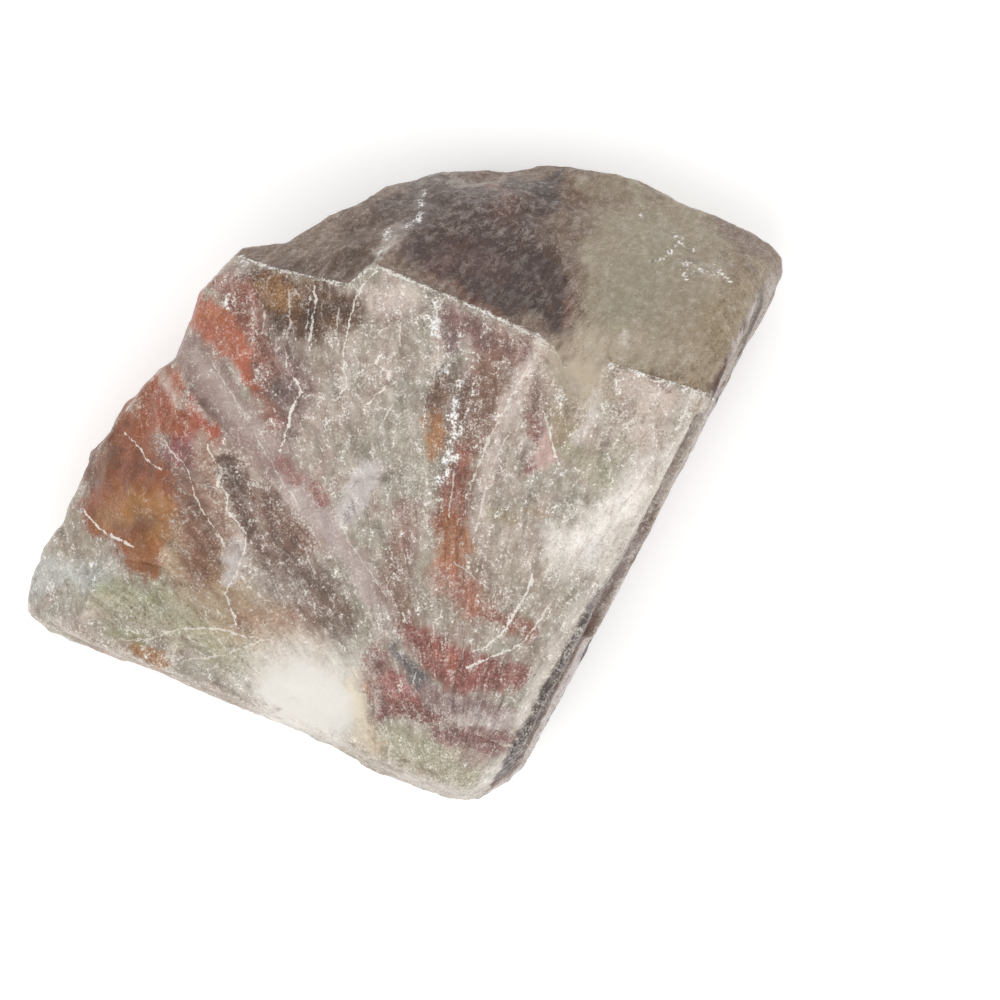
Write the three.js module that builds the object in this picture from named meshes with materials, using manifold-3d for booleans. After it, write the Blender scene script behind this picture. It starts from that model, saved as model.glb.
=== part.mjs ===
// A rough piece of banded green calcite, broken along its cleavage and lying on its broad back face.
// Millimetres, +Z up. X runs along the piece and Y across it. The origin is the middle of the box round
// it, on the resting face. One solid: the piece grew and broke as one stone, so nothing is separate.
//
// The form is made the way the stone came apart. A block with a broken outline and stepped walls is
// trimmed by planes (cleavage faces, the weathered roof), ledges are struck off its face, small rhombs
// are nicked out of its edges, and the broken skin is left slightly uneven.
import * as THREE from "three";
import { ImprovedNoise } from "three/addons/math/ImprovedNoise.js";
import { mergeVertices } from "three/addons/utils/BufferGeometryUtils.js";
import Module from "manifold-3d";

const wasm = await Module();
wasm.setup();

// ---- Driving dimensions ----
const crownHeight = 26; // front face above the resting face, over the origin
const frontFall = 5; // degrees that the front face falls towards the lower left
const frontFacing = 225; // compass of that fall, in degrees from +X towards +Y
const roofFacing = 72; // compass of the weathered roof, above the front face
const roofLift = 53; // how far the roof looks up
const rightFacing = -27.5; // compass of the clean cleavage face on the right
const lowerFacing = -112.5; // compass of the cleavage face along the lower edge
const cleavageLean = 15; // how far the third cleavage leans from upright
const brokenGrain = 3.5; // longest facet edge on the broken skin
const cleanGrain = 8; // the same on the cleavage faces

const turn = THREE.MathUtils.degToRad;
const smooth = THREE.MathUtils.smoothstep;
const noise = new ImprovedNoise();

// ---- Outline, seen from above, anticlockwise from the left tip ----
// Each stretch has the height of its widest course and how far the foot of the wall stands in.
const stretches = {
  lowerEdge: {
    high: 10,
    foot: 1.1,
    points: [[-38.3, -12.8], [-36.1, -14.8], [-30.2, -17.2], ...straight([-26.7, -18.6], [-0.2, -29.9], 5)],
  },
  tip: {
    high: 11,
    foot: 2.0,
    points: [[2.5, -30.8], [5.1, -31.6], [7.4, -31.7], [9.5, -30.4], [11.7, -28.6]],
  },
  rightEdge: { high: 8, foot: 0.7, points: straight([13.0, -26.5], [36.8, 18.5], 6) },
  rightCorner: { high: 10, foot: 2.0, points: [[38.0, 21.2], [37.8, 22.9], [36.6, 24.3]] },
  arch: { high: 8, foot: 3.6, points: bow([34.3, 25.5], [-0.4, 30.3], 4.0, 10) },
  leftRoof: {
    high: 14,
    foot: 2.9,
    points: [[-1.8, 29.8], [-4.9, 27.6], [-7.6, 26.7], [-9.8, 25.1], [-11.6, 23.9]],
  },
  leftCrown: {
    high: 19,
    foot: 3.0,
    points: [[-16.2, 23.6], [-18.9, 20.8], [-20.3, 19.2], [-21.9, 14.6], [-23.0, 12.4]],
  },
  leftFlank: {
    high: 11,
    foot: 2.3,
    points: [
      [-25.2, 10.8], [-26.9, 9.4], [-28.9, 7.0], [-29.8, 5.2], [-31.5, 3.3], [-33.0, -0.2],
      [-34.1, -3.9], [-36.3, -6.2], [-37.2, -9.6],
    ],
  },
};

// The wall's courses, as shares of its widest height, how unevenly each stands back, and the share of
// the height that the tread between two of them takes.
const courses = [0, 0.24, 0.5, 0.74, 1];
const courseStep = 1.8;
const tread = 0.025;

// ---- Planes that trim the block ----
// A point on each (x, y and how far below the crown), the way it faces and how far it looks up.
const trims = {
  westSlope: { at: [-5.4, 15.5, -0.6], facing: 150, lift: 78 },
  roof: { at: [-2.8, 21.7, -1.2], facing: roofFacing, lift: roofLift },
  roofTurn: { at: [12.6, 23.8, 4.5], facing: roofFacing + 2, lift: 41 },
  roofTail: { at: [31.6, 18.4, 4.4], facing: 46, lift: 43 },
  brow: { at: [9.0, 28.5, 9.2], facing: 91, lift: 27 },
  browRight: { at: [29.8, 24.9, 9.8], facing: 60, lift: 28 },
  browLeft: { at: [-3.6, 26.6, 6.6], facing: 104, lift: 32 },
  rightShoulder: { at: [36.5, 20.2, 11.0], facing: 16, lift: 30 },
  rightFace: { at: [25.5, -4.2, 16.0], facing: rightFacing, lift: 2 },
  lowerFace: { at: [-15.5, -23.4, 15.0], facing: lowerFacing, lift: 7 },
  tipCorner: { at: [10.3, -29.0, 9.0], facing: -58, lift: 14 },
  tipBrow: { at: [6.0, -29.4, 3.6], facing: -84, lift: 50 },
  westCrown: { at: [-30.2, 2.6, 7.8], facing: 158, lift: 44 },
  westTip: { at: [-35.2, -9.6, 10.0], facing: 166, lift: 42 },
  northWest: { at: [-19.9, 19.9, 5.0], facing: 142, lift: 16 },
};

// ---- Ledges struck off the front and the roof ----
// Each clears the stone over a sloping floor inside an outline. The floor lies at a depth under the
// surface at one point and falls towards a compass bearing, so it runs out on its far side.
const ledges = {
  roofDip: {
    edge: [
      [-4, 21.7], [-2.8, 21.7], [9.0, 16.4], [21.2, 11.4], [18.2, 16.5], [15.6, 20.5], [15.4, 26],
      [12.6, 36], [-4, 36],
    ],
    at: [-2.8, 21.7], depth: 0, facing: roofFacing - 3.4, fall: 90 - roofLift,
  },
  leftRoof: {
    edge: [
      [-2.9, 22.0], [-5.4, 19.8], [-7.4, 20.1], [-11.9, 21.3], [-16.4, 22.8], [-22, 25], [-19, 32],
      [-2, 38], [5.6, 38], [2.6, 30],
    ],
    at: [-9.4, 20.2], depth: 0.15, facing: 99, fall: 36,
  },
  scoop: {
    edge: [[15.4, 18.0], [20.6, 16.5], [20.2, 11.9], [19.6, 9.0], [17.6, 7.4], [15.4, 8.6], [15.2, 12.8]],
    at: [17.4, 7.8], depth: 0.1, facing: roofFacing, fall: 9,
  },
  greenDip: {
    edge: [[13.9, 8.3], [15.1, 10.4], [17.2, 9.4], [19.4, 8.6], [19.2, 3.4], [17.3, -0.6], [15.9, 1.1]],
    at: [17.0, 1.1], depth: 0.12, facing: 84, fall: -2,
  },
  pinkFacet: {
    edge: [[14.0, 8.3], [15.9, 1.2], [13.4, 2.4]],
    at: [15.3, 3.0], depth: 0, facing: 186, fall: 16,
  },
  rightStep: {
    edge: [[29.4, 10.8], [29.6, 9.4], [28.8, 6.0], [27.4, 3.6], [34, 3.6], [40, 16], [33, 16]],
    at: [29.0, 6.6], depth: 0.6, facing: 30, fall: 14,
  },
  bandEnd: {
    edge: [
      [-26.5, 13.4], [-21.7, 10.2], [-18.0, 5.4], [-14.6, 1.4], [-10.8, 2.8], [-14.9, 8.3],
      [-17.8, 13.0], [-19.8, 17.6], [-26, 20],
    ],
    at: [-15.4, 8.2], depth: 0.12, facing: 170, fall: 18,
  },
  orangeFlank: {
    edge: [
      [-23.6, 10.6], [-23.8, 4.5], [-23.0, -0.6], [-24.2, -8.2], [-27.4, -6.4], [-32.4, -2.6],
      [-42, -1], [-36, 14], [-26, 14],
    ],
    at: [-23.8, 2.4], depth: 0.1, facing: 162, fall: 26,
  },
  greenFoot: {
    edge: [
      [-42, -1.0], [-32.8, -2.6], [-31.2, -4.2], [-27.9, -6.1], [-24.4, -7.8], [-20.4, -11.2],
      [-17.4, -15.2], [-20, -28], [-44, -22],
    ],
    at: [-28.4, -6.0], depth: 0.7, facing: 176, fall: 19,
  },
  brownStep: {
    edge: [
      [-19.4, 3.4], [-18.3, 1.3], [-17.5, -1.8], [-15.9, -4.6], [-15.7, -6.9], [-17.7, -11.2],
      [-16.7, -14.0], [-12.6, -12.0], [-8.8, -7.8], [-11.4, -1.6], [-14.8, 2.0],
    ],
    at: [-15.6, -4.0], depth: 0.45, facing: 205, fall: 7,
  },
  paleChip: {
    edge: [[-16.8, -5.4], [-15.5, -6.8], [-17.6, -11.6], [-18.6, -12.8], [-18.4, -8.4]],
    at: [-18.0, -8.0], depth: 0.05, facing: -20, fall: 20,
  },
  window: {
    edge: [
      [-22.4, -16.2], [-14.6, -15.4], [-9.4, -14.4], [-4.6, -15.4], [-2.9, -19.6], [-2.7, -36],
      [-26, -32],
    ],
    at: [-9.4, -15.2], depth: 0.15, facing: lowerFacing, fall: 14,
  },
  tipRhomb: {
    edge: [[-2.7, -25.4], [0.2, -23.2], [4.4, -23.8], [9.2, -25.6], [14, -27.4], [16, -38], [-4, -38]],
    at: [2.4, -23.9], depth: 0.35, facing: -94, fall: 14,
  },
  veinGroove: {
    edge: [
      [3.4, 11.6], [5.9, 12.6], [6.9, 10.2], [6.4, 5.4], [5.2, -1.4], [4.6, -7.4], [3.4, -10.6],
      [2.6, -7.2], [3.2, 0.8], [2.4, 5.6],
    ],
    at: [5.9, 4.0], depth: 0.08, facing: 162, fall: 6,
  },
  brightChip: {
    edge: [[0.2, 1.9], [-5.2, 0.7], [-6.7, -2.0], [-5.0, -4.6], [-3.4, -3.6], [-2.4, -0.6]],
    at: [-5.2, -1.6], depth: 0.35, facing: 140, fall: 5,
  },
  plumStep: {
    edge: [
      [3.0, 18.9], [4.4, 15.8], [4.2, 11.2], [8.6, 8.4], [9.6, 1.0], [12.6, 3.8], [13.6, 9.4],
      [13.0, 15.6],
    ],
    at: [5.0, 13.6], depth: 0.35, facing: 215, fall: 2,
  },
  redStep: {
    edge: [
      [1.6, -18.4], [3.4, -14.4], [9.6, -11.4], [14.4, -13.6], [13.4, -20.8], [9.6, -22.4],
      [5.2, -21.0],
    ],
    at: [4.4, -18.6], depth: 0.4, facing: -140, fall: 8,
  },
  rootChip: {
    edge: [[-2.6, -18.2], [0.4, -16.6], [3.0, -18.6], [4.4, -22.4], [-1.6, -24.8]],
    at: [-1.4, -19.2], depth: 0.35, facing: 188, fall: 6,
  },
  frostFlake: {
    edge: [[20.2, 6.0], [25.6, 9.2], [26.6, 3.0], [22.0, -3.4], [18.0, -6.6], [17.4, -1.0]],
    at: [18.4, -1.4], depth: 0.22, facing: 190, fall: 6,
  },
};

// Long steps in the two cleavage walls: each is a strip of stone gone from the top down to its own
// height, from one place along the wall to another.
const wallEnd = 40;
const wallSteps = [
  { wall: "rightFace", inset: 0.8, height: 10.5, from: -wallEnd, to: wallEnd },
  { wall: "rightFace", inset: 2.1, height: 18.5, from: -wallEnd, to: 12 },
  { wall: "rightFace", inset: 1.4, height: 17.0, from: 11.8, to: wallEnd },
  { wall: "rightFace", inset: 1.5, height: 14.2, from: -wallEnd, to: -13 },
  { wall: "lowerFace", inset: 0.7, height: 12.5, from: -wallEnd, to: 6 },
  { wall: "lowerFace", inset: 0.4, height: 7.0, from: -14, to: 12 },
  { wall: "lowerFace", inset: 1.1, height: 15.0, from: -28, to: -9 },
];

// Shallow shells broken out of the other walls.
const shells = [
  { at: [-45.6, 16.0, 9.0], radius: 19.6, flatten: 0.62 },
  { at: [-52.6, -2.0, 6.0], radius: 21.0, flatten: 0.42 },
  { at: [8.0, 62.8, 7.0], radius: 32.0, flatten: 0.3 },
  { at: [34.0, 44.8, 5.0], radius: 20.4, flatten: 0.4 },
];

// Cleavage rhombs nicked out of the upper edges: place, and length along each cleavage and upwards.
const nicks = [
  { at: [31.2, 10.8], size: [1.4, 3.4, 1.3] },
  { at: [21.4, -6.8], size: [0.8, 5.2, 0.7] },
  { at: [14.6, -19.9], size: [1.3, 3.4, 1.2] },
  { at: [1.6, -28.4], size: [4.6, 1.4, 1.2] },
  { at: [-14.6, -21.8], size: [5.2, 1.2, 0.8] },
  { at: [-24.0, -17.9], size: [3.6, 1.3, 1.2] },
];

// ---- Stretches of outline ----
function straight([ax, ay], [bx, by], steps) {
  const share = (i) => i / steps;
  return Array.from({ length: steps + 1 }, (_, i) => [ax + (bx - ax) * share(i), ay + (by - ay) * share(i)]);
}

// An arc from one point to another that rises outside the straight line between them.
function bow([ax, ay], [bx, by], rise, steps) {
  const chord = new THREE.Vector2(bx - ax, by - ay);
  const half = chord.length() / 2;
  const radius = (half * half + rise * rise) / (2 * rise);
  const outward = new THREE.Vector2(chord.y, -chord.x).normalize();
  const centre = new THREE.Vector2(ax + bx, ay + by).multiplyScalar(0.5);
  centre.addScaledVector(outward, rise - radius);
  const spread = 2 * Math.asin(half / radius);
  return Array.from({ length: steps + 1 }, (_, i) => {
    const angle = outward.angle() + spread * (i / steps - 0.5);
    return [centre.x + radius * Math.cos(angle), centre.y + radius * Math.sin(angle)];
  });
}

const outline = Object.values(stretches).flatMap(({ high, foot, points }) =>
  points.map(([x, y]) => ({ x, y, high, foot })),
);

// ---- Between three.js geometry and manifold solids ----
function toSolid(geometry) {
  const bare = geometry.clone();
  bare.deleteAttribute("normal");
  bare.deleteAttribute("uv");
  const welded = mergeVertices(bare, 1e-4);
  return new wasm.Manifold(
    new wasm.Mesh({
      numProp: 3,
      vertProperties: new Float32Array(welded.attributes.position.array),
      triVerts: new Uint32Array(welded.index.array),
    }),
  );
}

function toGeometry(solid) {
  const mesh = solid.getMesh();
  const geometry = new THREE.BufferGeometry();
  geometry.setAttribute("position", new THREE.BufferAttribute(mesh.vertProperties, 3));
  geometry.setIndex(new THREE.BufferAttribute(mesh.triVerts, 1));
  return geometry;
}

// ---- Planes, and the space on one side of a plane: side 1 in front of it, -1 behind it ----
const reach = 160; // larger than the stone in every direction

function compass(bearing) {
  return new THREE.Vector3(Math.cos(turn(bearing)), Math.sin(turn(bearing)), 0);
}

function planeNormal({ facing, lift }) {
  return compass(facing).multiplyScalar(Math.cos(turn(lift))).setZ(Math.sin(turn(lift)));
}

function halfSpace(plane, side) {
  const [x, y, below] = plane.at;
  const block = new THREE.BoxGeometry(reach, reach, reach / 2);
  block.translate(0, 0, (side * reach) / 4);
  block.applyQuaternion(
    new THREE.Quaternion().setFromUnitVectors(new THREE.Vector3(0, 0, 1), planeNormal(plane)),
  );
  block.translate(x, y, crownHeight - below);
  return toSolid(block);
}

// ---- The block: rings of the outline, two to a course, so that each course stands by itself ----
function outwards(i) {
  const before = outline.at(i - 1);
  const after = outline[(i + 1) % outline.length];
  return new THREE.Vector2(after.y - before.y, before.x - after.x).normalize();
}

function ring(share, course) {
  return outline.map(({ x, y, high, foot }, i) => {
    const uneven = courseStep * Math.max(0, noise.noise(x / 9, y / 9, course * 5.7 + 2.4));
    const inset = share < 1 ? foot * (1 - share) + uneven : 0;
    const out = outwards(i);
    return [x - out.x * inset, y - out.y * inset, share * high];
  });
}

function roughBlock() {
  const rings = [];
  for (let c = 0; c < courses.length - 1; c++)
    rings.push(ring(courses[c] + (c ? tread : 0), c), ring(courses[c + 1] - tread, c));
  rings.push(ring(1, 0));
  rings.push(outline.map(({ x, y }) => [x, y, crownHeight * 1.3]));
  const count = outline.length;
  const top = (rings.length - 1) * count;
  const cap = THREE.ShapeUtils.triangulateShape(outline.map(({ x, y }) => new THREE.Vector2(x, y)), []);
  const faces = [];
  cap.forEach(([a, b, c]) => faces.push(a, c, b));
  cap.forEach((corners) => faces.push(...corners.map((c) => c + top)));
  for (let start = 0; start < top; start += count)
    for (let i = 0; i < count; i++) {
      const here = start + i;
      const next = start + ((i + 1) % count);
      faces.push(here, next, here + count, next, next + count, here + count);
    }
  const block = new THREE.BufferGeometry();
  block.setAttribute("position", new THREE.Float32BufferAttribute(rings.flat(2), 3));
  block.setIndex(faces);
  return toSolid(block);
}

// The height of the stone's top at a place, found by looking straight down on it.
function topFinder(solid) {
  const mesh = new THREE.Mesh(toGeometry(solid), new THREE.MeshBasicMaterial({ side: THREE.DoubleSide }));
  const ray = new THREE.Raycaster();
  return (x, y) => {
    ray.set(new THREE.Vector3(x, y, reach), new THREE.Vector3(0, 0, -1));
    return ray.intersectObject(mesh)[0].point.z;
  };
}

// ---- Ledges and steps ----
function prism(corners, from) {
  const body = new THREE.ExtrudeGeometry(new THREE.Shape(corners), { depth: reach / 2, bevelEnabled: false });
  body.translate(0, 0, from);
  return toSolid(body);
}

function ledge({ edge, at, depth, facing, fall }, topAt) {
  const corners = edge.map(([x, y]) => new THREE.Vector2(x, y));
  const below = crownHeight - topAt(...at) + depth;
  return prism(corners, 0).subtract(halfSpace({ at: [...at, below], facing, lift: 90 - fall }, -1));
}

function wallStep({ wall, inset, height, from, to }) {
  const { at, facing } = trims[wall];
  const out = compass(facing);
  const along = compass(facing + 90);
  const clear = 6; // well outside the wall
  const start = new THREE.Vector3(at[0], at[1], 0);
  const corner = (s, o) => start.clone().addScaledVector(along, s).addScaledVector(out, o);
  return prism([corner(from, -inset), corner(from, clear), corner(to, clear), corner(to, -inset)], height);
}

// ---- Cleavage rhombs nicked out of the edges ----
const upWay = compass(roofFacing).multiplyScalar(Math.sin(turn(cleavageLean)));
upWay.z = Math.cos(turn(cleavageLean));

function nick({ at, size: [long, cross, high] }, topAt) {
  const rhomb = new THREE.BoxGeometry(1, 1, 1);
  rhomb.applyMatrix4(
    new THREE.Matrix4().makeBasis(
      compass(lowerFacing + 90).multiplyScalar(long),
      compass(rightFacing + 90).multiplyScalar(cross),
      upWay.clone().multiplyScalar(high),
    ),
  );
  rhomb.translate(...at, topAt(...at));
  return toSolid(rhomb);
}

function shell({ at, radius, flatten }) {
  const ball = new THREE.IcosahedronGeometry(radius, 7);
  ball.scale(1, 1, flatten);
  ball.translate(...at);
  return toSolid(ball);
}

// ---- The uneven skin of broken stone ----
// 0 on the clean cleavage faces, 1 where the stone is broken or weathered.
function broken(p) {
  const right = smooth(p.dot(compass(rightFacing)), 18, 22);
  const lower = smooth(p.dot(compass(lowerFacing)), 22, 25);
  const left = smooth(-p.x, 12, 28);
  const roof = 0.7 * smooth(p.dot(compass(roofFacing)), 18, 24);
  const walls = 1 - smooth(p.z, 8, 17);
  return Math.max(left, roof, walls) * (1 - Math.max(right, lower));
}

// The waves of the skin: each one's length, and its height on the clean faces and on the broken ones.
const waves = [
  { length: 8.5, clean: 0.35, rough: 1.2 },
  { length: 3.6, clean: 0.08, rough: 0.6 },
  { length: 1.9, clean: 0, rough: 0.35 },
];
const footFlat = [0.2, 3.0]; // the skin is flat up to the first height and fully uneven from the second

function strayed(p) {
  const moved = p.clone();
  for (const { length, clean, rough } of waves) {
    const [x, y, z] = p.clone().divideScalar(length).toArray();
    const wave = new THREE.Vector3();
    wave.x = noise.noise(x, y, z + 3.1);
    wave.y = noise.noise(x + 31.7, y, z);
    wave.z = noise.noise(x, y + 57.3, z);
    moved.addScaledVector(wave, smooth(p.z, ...footFlat) * THREE.MathUtils.lerp(clean, rough, broken(p)));
  }
  return moved;
}

function longestEdge(p) {
  return p.z < footFlat[0] ? reach : THREE.MathUtils.lerp(cleanGrain, brokenGrain, broken(p));
}

// Splits every edge that is longer than its place allows, at its middle, until none is.
function refined(geometry) {
  const place = geometry.toNonIndexed().attributes.position;
  let open = [];
  for (let i = 0; i < place.count; i += 3)
    open.push([0, 1, 2].map((k) => new THREE.Vector3().fromBufferAttribute(place, i + k)));
  const done = [];
  while (open.length) {
    const split = [];
    for (const face of open) {
      const middles = face.map((a, k) => a.clone().add(face[(k + 1) % 3]).multiplyScalar(0.5));
      const excess = face.map((a, k) => a.distanceTo(face[(k + 1) % 3]) / longestEdge(middles[k]));
      const worst = excess.indexOf(Math.max(...excess));
      const [a, b, c] = [0, 1, 2].map((k) => face[(worst + k) % 3]);
      if (excess[worst] > 1) split.push([a, middles[worst], c], [middles[worst], b, c]);
      else done.push(face);
    }
    open = split;
  }
  return done;
}

function unevenSkin(solid) {
  const places = refined(toGeometry(solid)).flat().flatMap((corner) => strayed(corner).toArray());
  const skin = new THREE.BufferGeometry();
  skin.setAttribute("position", new THREE.Float32BufferAttribute(places, 3));
  return skin;
}

// ---- Put together ----
const front = { at: [0, 0, 0], facing: frontFacing, lift: 90 - frontFall };
let stone = roughBlock().subtract(halfSpace(front, 1));
for (const plane of Object.values(trims)) stone = stone.subtract(halfSpace(plane, 1));
for (const struck of Object.values(ledges)) stone = stone.subtract(ledge(struck, topFinder(stone)));
for (const step of wallSteps) stone = stone.subtract(wallStep(step));
for (const bite of shells) stone = stone.subtract(shell(bite));
for (const rhomb of nicks) stone = stone.subtract(nick(rhomb, topFinder(stone)));
const [whole] = stone.decompose().sort((a, b) => b.volume() - a.volume());

const skin = unevenSkin(whole);
skin.computeBoundingBox();
const middle = skin.boundingBox.getCenter(new THREE.Vector3());
skin.translate(-middle.x, -middle.y, -skin.boundingBox.min.z);
skin.computeVertexNormals();

const calcite = new THREE.Mesh(
  skin,
  new THREE.MeshStandardMaterial({ color: 0x9d9486, roughness: 0.5, metalness: 0 }),
);
calcite.name = "calcite_crystal";

const group = new THREE.Group();
group.add(calcite);

export default group;
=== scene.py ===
# A rough piece of banded green calcite, lying on its back on a pale studio floor.
# Lengths are in millimetres unless a note says otherwise.
from types import SimpleNamespace

import bmesh
import bpy
import numpy as np
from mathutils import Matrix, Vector, noise


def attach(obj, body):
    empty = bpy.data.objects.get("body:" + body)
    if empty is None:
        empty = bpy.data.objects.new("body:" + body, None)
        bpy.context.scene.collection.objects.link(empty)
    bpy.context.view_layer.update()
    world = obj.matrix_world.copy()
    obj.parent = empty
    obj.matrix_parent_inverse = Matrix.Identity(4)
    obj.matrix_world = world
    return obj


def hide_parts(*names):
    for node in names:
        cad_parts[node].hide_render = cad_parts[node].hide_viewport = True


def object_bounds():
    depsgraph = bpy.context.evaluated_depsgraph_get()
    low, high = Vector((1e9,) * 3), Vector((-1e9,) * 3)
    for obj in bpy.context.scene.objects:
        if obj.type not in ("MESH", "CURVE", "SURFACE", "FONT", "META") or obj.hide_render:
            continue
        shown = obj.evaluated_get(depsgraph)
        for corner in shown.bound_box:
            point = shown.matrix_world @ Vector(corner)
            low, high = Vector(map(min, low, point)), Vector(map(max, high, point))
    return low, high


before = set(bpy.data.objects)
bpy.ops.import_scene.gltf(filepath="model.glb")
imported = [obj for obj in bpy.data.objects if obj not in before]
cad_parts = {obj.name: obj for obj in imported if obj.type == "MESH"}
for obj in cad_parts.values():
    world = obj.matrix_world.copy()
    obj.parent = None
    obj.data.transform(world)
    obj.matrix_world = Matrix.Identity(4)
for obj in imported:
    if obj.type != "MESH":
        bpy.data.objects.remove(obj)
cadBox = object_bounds()
mm = 0.001  # one millimetre, in metres

# Where the weathered roof meets the fresh front: X and Y along the crease
roofCrease = [
    (-24.0, 26.0), (-17.0, 22.6), (-11.9, 20.9), (-7.4, 19.8), (-5.4, 19.5), (-2.9, 21.5), (14.6, 13.9),
    (15.3, 12.6), (15.8, 11.0), (19.0, 10.4), (20.0, 11.8), (21.4, 11.3), (25.0, 10.2), (29.4, 8.8),
    (38.0, 6.0),
]
creaseX, creaseY = zip(*roofCrease)


# From 0 at low to 1 at high without a corner
def smoothStep(low, high, value):
    share = min(max((value - low) / (high - low), 0.0), 1.0)
    return share * share * (3.0 - 2.0 * share)


# The same for an array
def smoothShares(low, high, values):
    share = np.clip((values - low) / (high - low), 0.0, 1.0)
    return share * share * (3.0 - 2.0 * share)


# The stone's surface
block = {
    "node": "calcite_crystal",
    "slot": "calcite",
    "voxel": 0.375,  # spacing of the fine surface's points
    "footFlat": (0.25, 1.6),  # untouched up to the first height, fully worked above the second
    "upright": (0.2, 0.55),  # all wall where the normal's Z is under the first, no wall over the second
    "layeredFacing": (0.0, 0.4),  # the layers show in the walls that face right and down
    "roofStarts": (-0.3, 0.6),  # across the crease
    "leftFlank": (-12.0, -24.0),
    "laminaPitch": 1.15,  # thickness of the layers that show in the walls
    "laminaDepth": 0.2,
    "laminaMiddle": 0.3,
    "laminaSplit": (2.7, 0.4, 0.35),  # thin layers to a thick one, their shift and share of its depth
    "terraceWidth": 5.2,  # between the low cleavage steps on the front
    "terraceDepth": 0.13,
    "terraceTurns": (-0.05, 0.3),
    "cleavage": [(0.38, 0.92), (0.89, -0.46)],  # the two directions across the steps
    "ribDepth": 0.22,  # the upright ribs under the left crest
    "ribSize": (1.15, 8.5),
    "ribHeight": (0.5, 2.0),
    "ribLeft": (-18.5, -15.5),
    "ribRight": (-3.4, -6.0),
    "ribFoot": (9.5, 13.5),
    "roofGrain": 0.16,
    "roofGrainSize": (0.8, 2.6, 2.0),  # across its slant, along it and down
    "roofGrainTurn": (0.8, 0.6),
    "roofSmooth": (14.0, 19.0),
    "roofRough": (1.0, 5.0),
    "smoothLoss": 0.6,
    "brokenGrain": 0.2,
    "flakeSize": (5.0, 7.0, 5.0),
    "flakeMiddle": 1.2,
    "edgeRounds": 6,
    "edgeChip": 0.34,
    "chipEdges": (0.05, 0.4),  # chipped from the first sharpness on, most deeply over the second
    "chipPatches": (-0.1, 0.5),
    "scoopRounds": 90,
    "scoopEdge": (-0.6, 1.4),
    "scoopFacing": (0.2, 0.4),
    # the hollow where the roof runs into the front without a crease: X, Y and half width
    "scoopLine": [(16.6, 18.5, 2.2), (17.6, 13.5, 3.4), (17.8, 9.5, 3.4), (17.2, 6.0, 2.4)],
    # noise: depth, width, height and seed
    "swell": (0.1, 4.5, 4.5, 7.0),
    "laminaWave": (1.3, 13.0, 9.0, 0.0),
    "wallGrain": (0.16, 2.6, 0.9, 3.0),
    "terraceTurn": (1.0, 9.0, 1.0, 4.2),
    "terraceWaves": [(0.8, 8.0, 1.0, 1.7), (0.8, 8.0, 1.0, 9.1)],
    "frontGrain": (0.07, 1.3, 1.0, 0.0),
    "chipNoise": (1.0, 1.7, 1.7, 0.0),
    # how far points stand out: the attribute's name, rounds of smoothing, and what counts as all the way
    "standOuts": [("edgeFine", 3, 0.08), ("edgeBroad", 16, 0.35)],
}


def fineCopy(settings):
    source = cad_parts[settings["node"]]
    shell = bmesh.new()
    shell.from_mesh(source.data)
    bmesh.ops.remove_doubles(shell, verts=shell.verts, dist=1e-7)
    mesh = bpy.data.meshes.new("calciteBlock")
    shell.to_mesh(mesh)
    shell.free()
    piece = bpy.data.objects.new("calciteBlock", mesh)
    bpy.context.scene.collection.objects.link(piece)
    fine = piece.modifiers.new("fine surface", "REMESH")
    fine.mode = "VOXEL"
    fine.voxel_size = settings["voxel"] * mm
    fine.adaptivity = 0.0
    shaped = bpy.data.meshes.new_from_object(piece.evaluated_get(bpy.context.evaluated_depsgraph_get()))
    piece.modifiers.clear()
    piece.data = shaped
    shaped.name = "calciteBlock"
    bpy.data.meshes.remove(mesh)
    return piece


def readArray(items, name, width, kind=float):
    values = np.empty(len(items) * width, dtype=kind)
    items.foreach_get(name, values)
    return values.reshape(-1, width)


def readPoints(mesh):
    return readArray(mesh.vertices, "co", 3) / mm


def readNormals(mesh):
    return readArray(mesh.vertex_normals, "vector", 3)


def writePoints(mesh, points):
    mesh.vertices.foreach_set("co", (points * mm).ravel())
    mesh.update()


# Each round takes a point this share of the way to the middle of its neighbours
evening = 0.6


def evenedOut(points, edges, rounds):
    near = np.bincount(edges.ravel(), minlength=len(points)).reshape(-1, 1)
    for _ in range(rounds):
        total = np.zeros_like(points)
        for axis in range(points.shape[1]):
            total[:, axis] = np.bincount(edges[:, 0], points[edges[:, 1], axis], len(points))
            total[:, axis] += np.bincount(edges[:, 1], points[edges[:, 0], axis], len(points))
        points = (1.0 - evening) * points + evening * total / near
    return points


# How far each point stands out of its smoothed surroundings: over 0 on edges, under 0 in hollows
def standOut(points, normals, edges, rounds):
    return ((points - evenedOut(points, edges, rounds)) * normals).sum(axis=1)


def fractal(x, y, z, octaves=3):
    return noise.fractal(Vector((x, y, z)), 0.9, 2.1, octaves, noise_basis="PERLIN_ORIGINAL")


def noiseAt(x, y, z, kind):
    depth, width, height, seed = kind
    return depth * fractal(x / width, y / width, z / height + seed)


# Rises evenly with t and drops back over the last part of each step
def stair(t, riser=0.14):
    share = t % 1.0
    return share - smoothStep(1.0 - riser, 1.0, share)


def wallLift(x, y, z, facing, settings):
    level = z / settings["laminaPitch"] + noiseAt(x, y, z, settings["laminaWave"])
    count, shift, share = settings["laminaSplit"]
    layers = stair(level) - settings["laminaMiddle"] + share * stair(level * count + shift)
    layered = smoothStep(*settings["layeredFacing"], facing[0] - facing[1])
    return layered * settings["laminaDepth"] * layers + noiseAt(x, y, z, settings["wallGrain"])


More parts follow.
